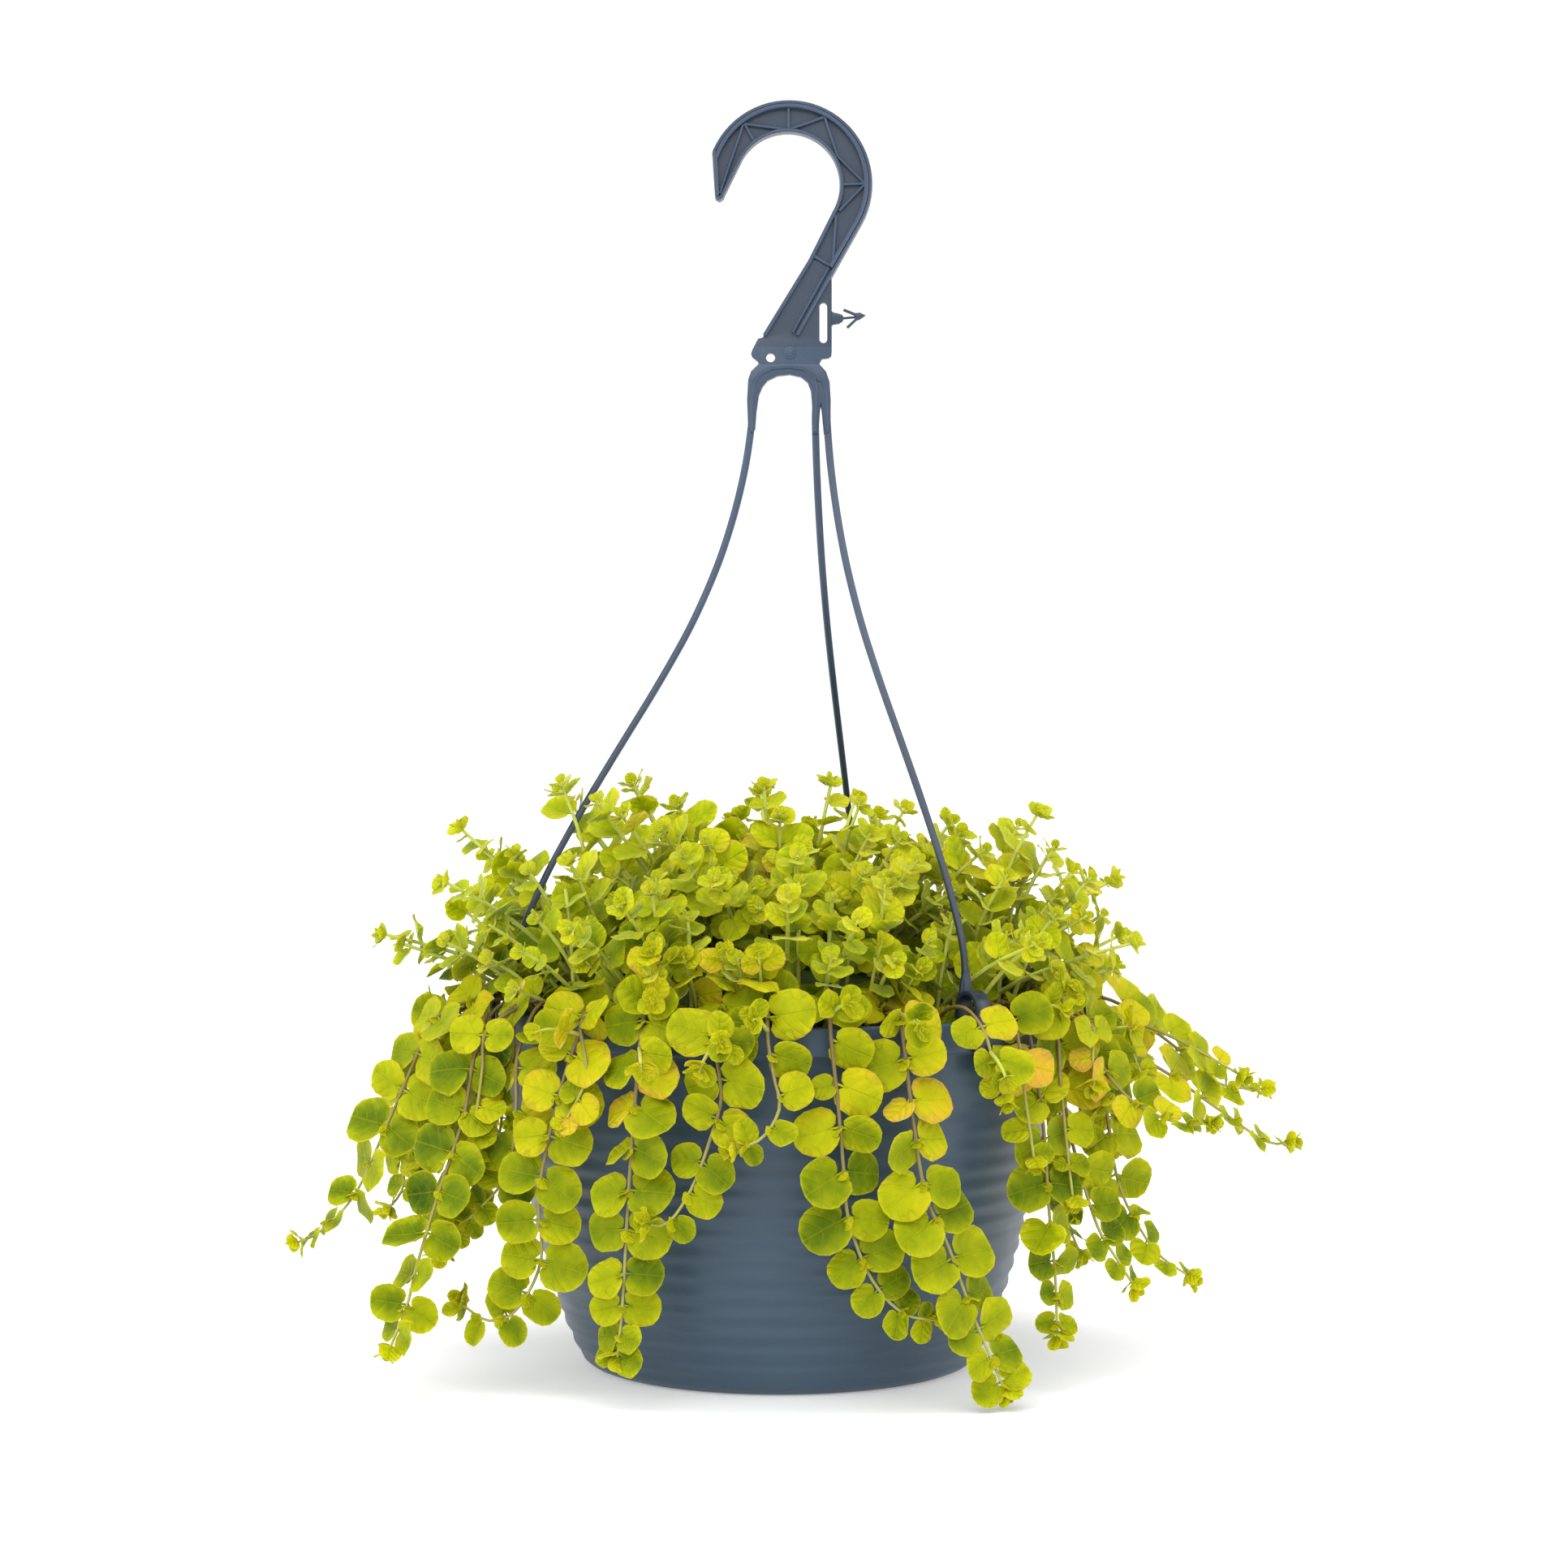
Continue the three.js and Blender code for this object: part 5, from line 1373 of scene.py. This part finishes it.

# %% [markdown]
# ## Tints and tips
# The strands that hang in the open are lime to yellow, with the oldest leaves at the rim tinged with
# orange. In the crown the tint carries painted light and shade: leaves are painted yellower and brighter
# towards its top and outside, where the light falls, and stay deep green low down and within. Every stem
# ends in a small rosette of half-open leaves.

# %% A leaf's tint and the rosette at a tip
# How much greener (less) or yellower (more) some strands are, above a height
HUES = {"strand_02": (60, -0.13), "strand_04": (95, 0.1), "strand_09": (0, -0.06),
        "strand_10": (90, 0.1), "strand_11": (0, -0.05)}
# How far each pair at a tip leans out in degrees, its size and how far back it sits
BUDS = [((22, 0.44, 4.0), (45, 0.34, 2.0), (66, 0.22, 0.6)), ((30, 0.44, 2.6), (58, 0.27, 0.8))]


def tint_of(leaf, draw):
    """0 is deep green, 0.5 lime, 0.75 yellow and 1 orange. A stem's leaves share a trend."""
    at, stem = leaf["at"], leaf["stem"]
    radius = math.hypot(at[0], at[1])
    trend = 0.16 * (drawer(stem.get("seed", 9) + 77)() - 0.5)
    if stem.get("upright") == 0:
        old = max(0.0, 1 - abs(at[2] - 140) / 42) * (radius > 112)
        above, shift = HUES.get(stem["name"], (0, 0))
        trend = 0.39 + 1.5 * trend + shift * (at[2] > above)
        return trend + 0.3 * (draw() - 0.5) + 0.55 * old * draw() ** 1.6
    if stem["name"] in ("rim_shoots", "rim_sprigs"):
        return 0.34 + trend + 0.2 * (draw() - 0.5) + 0.5 * draw() ** 1.8
    # Painted light and shade in the crown: leaves higher up and further out are painted lighter and
    # yellower, and those low and deep inside stay dark green
    height = np.clip((at[2] - SOIL_TOP - 2) / 62, 0, 1)
    lit_share = max(height, 0.85 * np.clip((radius - 70) / 60, 0, 1))
    return 0.11 + trend + 0.41 * lit_share + 0.22 * draw() + 0.26 * (draw() < 0.03) + 0.0006 * at[0]


def young_leaf(stem, at, ahead, axis, size):
    normal = unit(ahead - axis * np.dot(ahead, axis))
    return {"stem": stem, "at": at, "axis": axis, "normal": normal, "size": size, "young": True}


def rosette(stem):
    """The half-open leaves at a tip: three pairs on a strand and two on a shoot."""
    path, draw, made = stem["path"], drawer(stem["seed"] + 5), []
    at, ahead = path.at(1.0), path.ahead(1.0)
    base = np.cross(ahead, [0.3, 0.2, 1.0])
    base = unit(base if np.linalg.norm(base) > 0.1 else np.array([1.0, 0, 0]))
    first = 360 * draw()
    for ring, (lift, size, back) in enumerate(BUDS[stem["upright"]]):
        for side in (0, 180):
            way = spun(base, ahead, math.radians(first + 90 * ring + side + 14 * draw()))
            raised = math.radians(lift + 12 * draw())
            axis = unit(way * math.cos(raised) + ahead * math.sin(raised))
            size_now = stem["leaf"] * size * (0.9 + 0.3 * draw())
            made.append(young_leaf(stem, at - ahead * back, ahead, axis, size_now))
    return made


# %% Small buds that sit where a strand's leaves meet it
BUD_SHARE, BUD_TINT = 0.6, 0.58


def is_budding(leaf):
    return leaf["stem"]["name"].startswith("strand") and "young" not in leaf


def bud_at(leaf, draw):
    raised = math.radians(40 + 40 * draw())
    axis = leaf["side"] * math.cos(raised) + leaf["ahead"] * math.sin(raised) + leaf["light"] * 0.5
    return young_leaf(leaf["stem"], leaf["at"], leaf["ahead"], unit(axis), 3.2 + 3.2 * draw())


# %% Points for the node tree
POINT_DATA = {"is_leaf": "BOOLEAN", "girth": "FLOAT", "along": "FLOAT", "turn": "FLOAT_VECTOR",
              "size": "FLOAT", "shape": "INT", "tint": "FLOAT"}


def turn_of(leaf):
    across = np.cross(leaf["axis"], leaf["normal"])
    return Matrix(np.array([across, leaf["axis"], leaf["normal"]]).T.tolist()).to_euler()


def point_cloud(stems, leaves, draw):
    """The points, the edges between them and a row of values for each point."""
    points, edges, rows = [], [], []
    for stem in stems:
        start, count = len(points), max(8, math.ceil(stem["path"].length / 4))
        for spot, share in zip(stem["path"].along(count), np.linspace(0, 1, count + 1)):
            girth, along = MM * STEM_RADIUS * (1 - 0.42 * share), share
            if stem["upright"]:
                along = 1.0 + 0.2 * share
            points.append(spot)
            rows.append((False, girth, along, (0, 0, 0), 0.0, 0, 0.0))
        edges += [(k, k + 1) for k in range(start, len(points) - 1)]
        leaves = leaves + rosette(stem)
    budding = [leaf for leaf in leaves if is_budding(leaf)]
    leaves = leaves + [bud_at(leaf, draw) for leaf in budding if draw() < BUD_SHARE]
    for leaf in leaves:
        tint = BUD_TINT + 0.1 * draw() if leaf.get("young") else tint_of(leaf, draw)
        shape = int(draw() * len(LEAF_FORMS))
        points.append(leaf["at"])
        rows.append((True, 0.0, 0.0, tuple(turn_of(leaf)), MM * leaf["size"], shape, tint))
    return [tuple(MM * v for v in point) for point in points], edges, rows


def grow_piece(name, stems, leaves, seed, finish):
    points, edges, rows = point_cloud(stems, leaves, drawer(seed))
    mesh = bpy.data.meshes.new(name)
    mesh.from_pydata(points, edges, [])
    for (key, kind), values in zip(POINT_DATA.items(), zip(*rows)):
        layer = mesh.attributes.new(key, kind, "POINT")
        layer.data.foreach_set("vector" if key == "turn" else "value", np.array(values).ravel())
    piece = linked(name, mesh)
    modifier = piece.modifiers.new("leafy stem", "NODES")
    modifier.node_group = LEAFY
    modifier[SOCKETS["Leaf shapes"]] = leaf_shapes
    modifier[SOCKETS["Leaf finish"]] = finish
    modifier[SOCKETS["Stem girth"]] = 0.82 if finish is STRAND_LEAF else 1.05
    settle_modifiers(piece)
    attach(piece, "root")
    return piece


# %% Grow the trailing strands and the arching shoots
def leaves_on(stem):
    return [leaf for leaf in settler.leaves if leaf["stem"] is stem]


triangles = 0
for number, stem in enumerate(stems):
    if not stem["core"]:
        finish = SHOOT_LEAF_FINISH if stem["upright"] else STRAND_LEAF
        name = f"{stem['name']}_leafy"
        piece = grow_piece(name, [stem], leaves_on(stem), 300 + 7 * number, finish)
        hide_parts(stem["name"])
        triangles += triangles_of(piece)
print("strands and shoots:", triangles, "triangles")

# %% [markdown]
# ## The crown
# Its heart is a tangle of old stems and shaded leaves that light never reaches. One rough dark dome
# stands in for that, and leaves and shoots stand out of it all over.

# %% The dome and what stands on it
def dome_profile():
    base = SOIL_TOP + SOIL_GAP
    foot, inner = base - ROOT_DEPTH, ROOT_RADIUS - SOIL_GAP
    profile = [(0, foot), (inner, foot), (inner, base), (CORE_RADIUS - 4, base)]
    for turn in map(math.radians, range(4, 90, 5)):
        height = base + (CORE_HEIGHT - 2) * math.sin(turn)
        profile.append(((CORE_RADIUS - 3) * math.cos(turn), height))
    return profile + [(0, base + CORE_HEIGHT - 2)]


def roughened(points, amount, seed, above):
    """Moves the points above a height in and out by a repeatable draw."""
    draw, moved = drawer(seed), []
    for x, y, z in points:
        push = amount * (draw() - 0.5)
        shift = push / (math.hypot(x, y, z - SOIL_TOP) or 1) if z > above else 0
        moved.append((x * (1 + shift), y * (1 + shift), z + (z - SOIL_TOP) * shift))
    return moved


TANGLE = grainy("shaded_tangle", (140, 4),
                [(0.3, (0.02, 0.035, 0.006)), (0.7, (0.09, 0.15, 0.012))], (260, 4, 0.9, 0.002),
                Roughness=0.8)
points, faces = turned(dome_profile(), 96)
dome = add_piece("crown_heart", roughened(points, 3.4, 77, SOIL_TOP + 4), faces, TANGLE)
core_stems = [stem for stem in stems if stem["core"]]
own = [leaf for leaf in settler.leaves if leaf["stem"]["name"] == "crown"]
crown = grow_piece("crown_leafy", core_stems, own, 611, SHOOT_LEAF_FINISH)
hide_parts("crown")
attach(dome, "root")
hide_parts("crown")
for name, (_, _, _, seed, _, _) in KINDS.items():
    own = [stem for stem in extras if stem["name"] == name]
    leaves = [leaf for stem in own for leaf in leaves_on(stem)]
    open_air = name.startswith(("side", "rim"))
    piece = grow_piece(name, own, leaves, seed, STRAND_LEAF if open_air else SHOOT_LEAF_FINISH)
    print(name, "leaves:", len(leaves), "triangles:", triangles_of(piece))
for shape in list(leaf_shapes.objects):
    bpy.data.objects.remove(shape)
bpy.data.collections.remove(leaf_shapes)
bpy.data.node_groups.remove(LEAFY)

# %% [markdown]
# ## The soil
# Dark potting mix, a little heaped and crumbly. Its body is turned like the pot, with the top
# rings roughened by a seeded draw, and Geometry Nodes scatter crumbs of bark over it.

# %% Soil body
SOIL = grainy("potting_mix", (240, 6), [(0.3, (0.012, 0.009, 0.007)), (0.62, (0.05, 0.035, 0.024)),
                                        (0.8, (0.11, 0.08, 0.055))],
              (500, 6, 1.0, 0.0015), Roughness=0.95, Specular_IOR_Level=0.2)


def soil_profile():
    base, dip = FLOOR + SOIL_GAP, SOIL_TOP - ROOT_DEPTH
    heights = (15, 30, 46, 60, 74, 90, 106, 125, 142)
    side = [(0, base), (FOOT_RADIUS - 1, base), (wall_radius(3) - WALL - 1, FLOOR + 2.5)]
    side += [(float(np.polyval(WALL_FIT, z)) - WALL - 1.2, z) for z in heights]
    top = [(119.2, SOIL_TOP - 1.4)]
    top += [(radius, SOIL_TOP - 0.6) for radius in np.arange(117, 26, -2.5)]
    return side + top + [(ROOT_RADIUS, dip), (0, dip)]


points, faces = turned(soil_profile(), 128)
draw = drawer(5)
lumpy = [(x, y, z + 2.2 * (draw() - 0.5) if z > SOIL_TOP - 1 else z) for x, y, z in points]
soil = add_piece("soil_bed", lumpy, faces, SOIL)
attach(soil, "root")
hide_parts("soil")
print("soil faces:", len(faces))

# %% Crumbs of bark, scattered by Geometry Nodes
def crumb_tree(finish):
    tree, given, result = geometry_tree(
        "crumbs", ("Crumbs per square metre", "Float", 36000.0), ("Crumb radius", "Float", 0.0012),
        ("Seed", "Int", 3))

    def random(low, high, seed):
        inputs = {"Min": low, "Max": high, "Seed": seed}
        return tree.add("FunctionNodeRandomValue", inputs, data_type="FLOAT_VECTOR")

    spots = tree.add("GeometryNodeDistributePointsOnFaces", {
        "Mesh": given["Geometry"], "Density": given["Crumbs per square metre"],
        "Seed": given["Seed"]})
    inputs = {"Radius": given["Crumb radius"], "Subdivisions": 1}
    lump = tree.add("GeometryNodeMeshIcoSphere", inputs)
    tree.feed(result, scattered(
        tree, finish, Points=spots, Instance=lump, Rotation=random((0, 0, 0), (6.3, 6.3, 6.3), 11),
        Scale=random((0.4, 0.3, 0.3), (1.7, 0.9, 0.8), 12)))
    return tree.tree


BARK = grainy("bark_crumb", (90, 3), [(0.35, (0.018, 0.012, 0.008)), (0.7, (0.09, 0.055, 0.03))],
              Roughness=0.9, Specular_IOR_Level=0.2)
crumbs = add_piece("soil_crumbs", *turned([(118, SOIL_TOP - 0.2), (78, SOIL_TOP - 0.2)], 64))
crumbs.modifiers.new("crumbs", "NODES").node_group = crumb_tree(BARK)
settle_modifiers(crumbs)
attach(crumbs, "root")
print("crumb faces:", len(crumbs.data.polygons))

# %% [markdown]
# ## Floor, light and camera
# The pot stands on a white sweep under soft, even studio light, seen level with the tips of the
# plant from about 1.36 m. A white world that darkens upwards fills the shadows, a very soft sun from
# above models the leaves, and two tall strips at the sides draw the pale edges on the pot. The floor
# glows a little towards the back, as the lit sweep does in the photograph.

# %% Floor
WHITE, tree = new_finish("white_floor", Roughness=0.7, Specular_IOR_Level=0.2,
                         Emission_Color=(1, 1, 1, 1))
tree.coat(tree.ramp(tree.noise(3, 2), [(0.0, (0.9, 0.9, 0.9)), (1.0, (0.93, 0.93, 0.93))]))
back = tree.split(tree.place())["Y"]
tree.feed(tree.shader.inputs["Emission Strength"], tree.spread(back, (-0.16, -0.03), (0.08, 0.3)))
FLOOR_REACH = 30000
corners = [(FLOOR_REACH * x, FLOOR_REACH * y, 0) for x, y in ((-1, -1), (1, -1), (1, 1), (-1, 1))]
floor = add_piece("floor", corners, [[0, 1, 2, 3]], WHITE)

# %% Lights
def add_light(kind, name, power, at=(0, 0, 0), turn=None, **values):
    data = bpy.data.lights.new(name, kind)
    data.energy = power
    for key, value in values.items():
        setattr(data, key, value)
    lamp = linked(name, data)
    lamp.location = at
    lamp.rotation_euler = turn or (STRIP_AIM - Vector(at)).to_track_quat("-Z", "Y").to_euler()


scene, world, STRIP_AIM = bpy.context.scene, bpy.data.worlds.new("studio"), Vector((0, 0, 0.15))
world.use_nodes = True
sky, background = Tree(world.node_tree), world.node_tree.nodes["Background"]
height = sky.split(sky.place("Generated"))["Z"]
shade = sky.ramp(height, [(0.26, (1, 1, 1)), (0.5, (0.62, 0.62, 0.62))])
sky.feed(background.inputs["Color"], shade)
sky.feed(background.inputs["Strength"], 1.08)
scene.world = world
scene.view_settings.view_transform = "Standard"
overhead = (math.radians(36), math.radians(-10), 0)
add_light("SUN", "overhead", 2.5, turn=overhead, angle=math.radians(80))
for name, at in (("left_strip", (-1.5, -0.3, 0.5)), ("right_strip", (1.5, -0.2, 0.5))):
    add_light("AREA", name, 5, at, shape="RECTANGLE", size=0.4, size_y=1.4)
print("lights ready")

# %% Camera
camera_data = bpy.data.cameras.new("camera")
camera_data.lens, camera_data.sensor_width, camera_data.clip_end = CAMERA_LENS, 36, 200
camera = linked("camera", camera_data)
camera.location = [MM * v for v in CAMERA_PLACE]
camera.rotation_euler = (math.radians(90), 0, 0)
scene.camera = camera
print("camera ready")
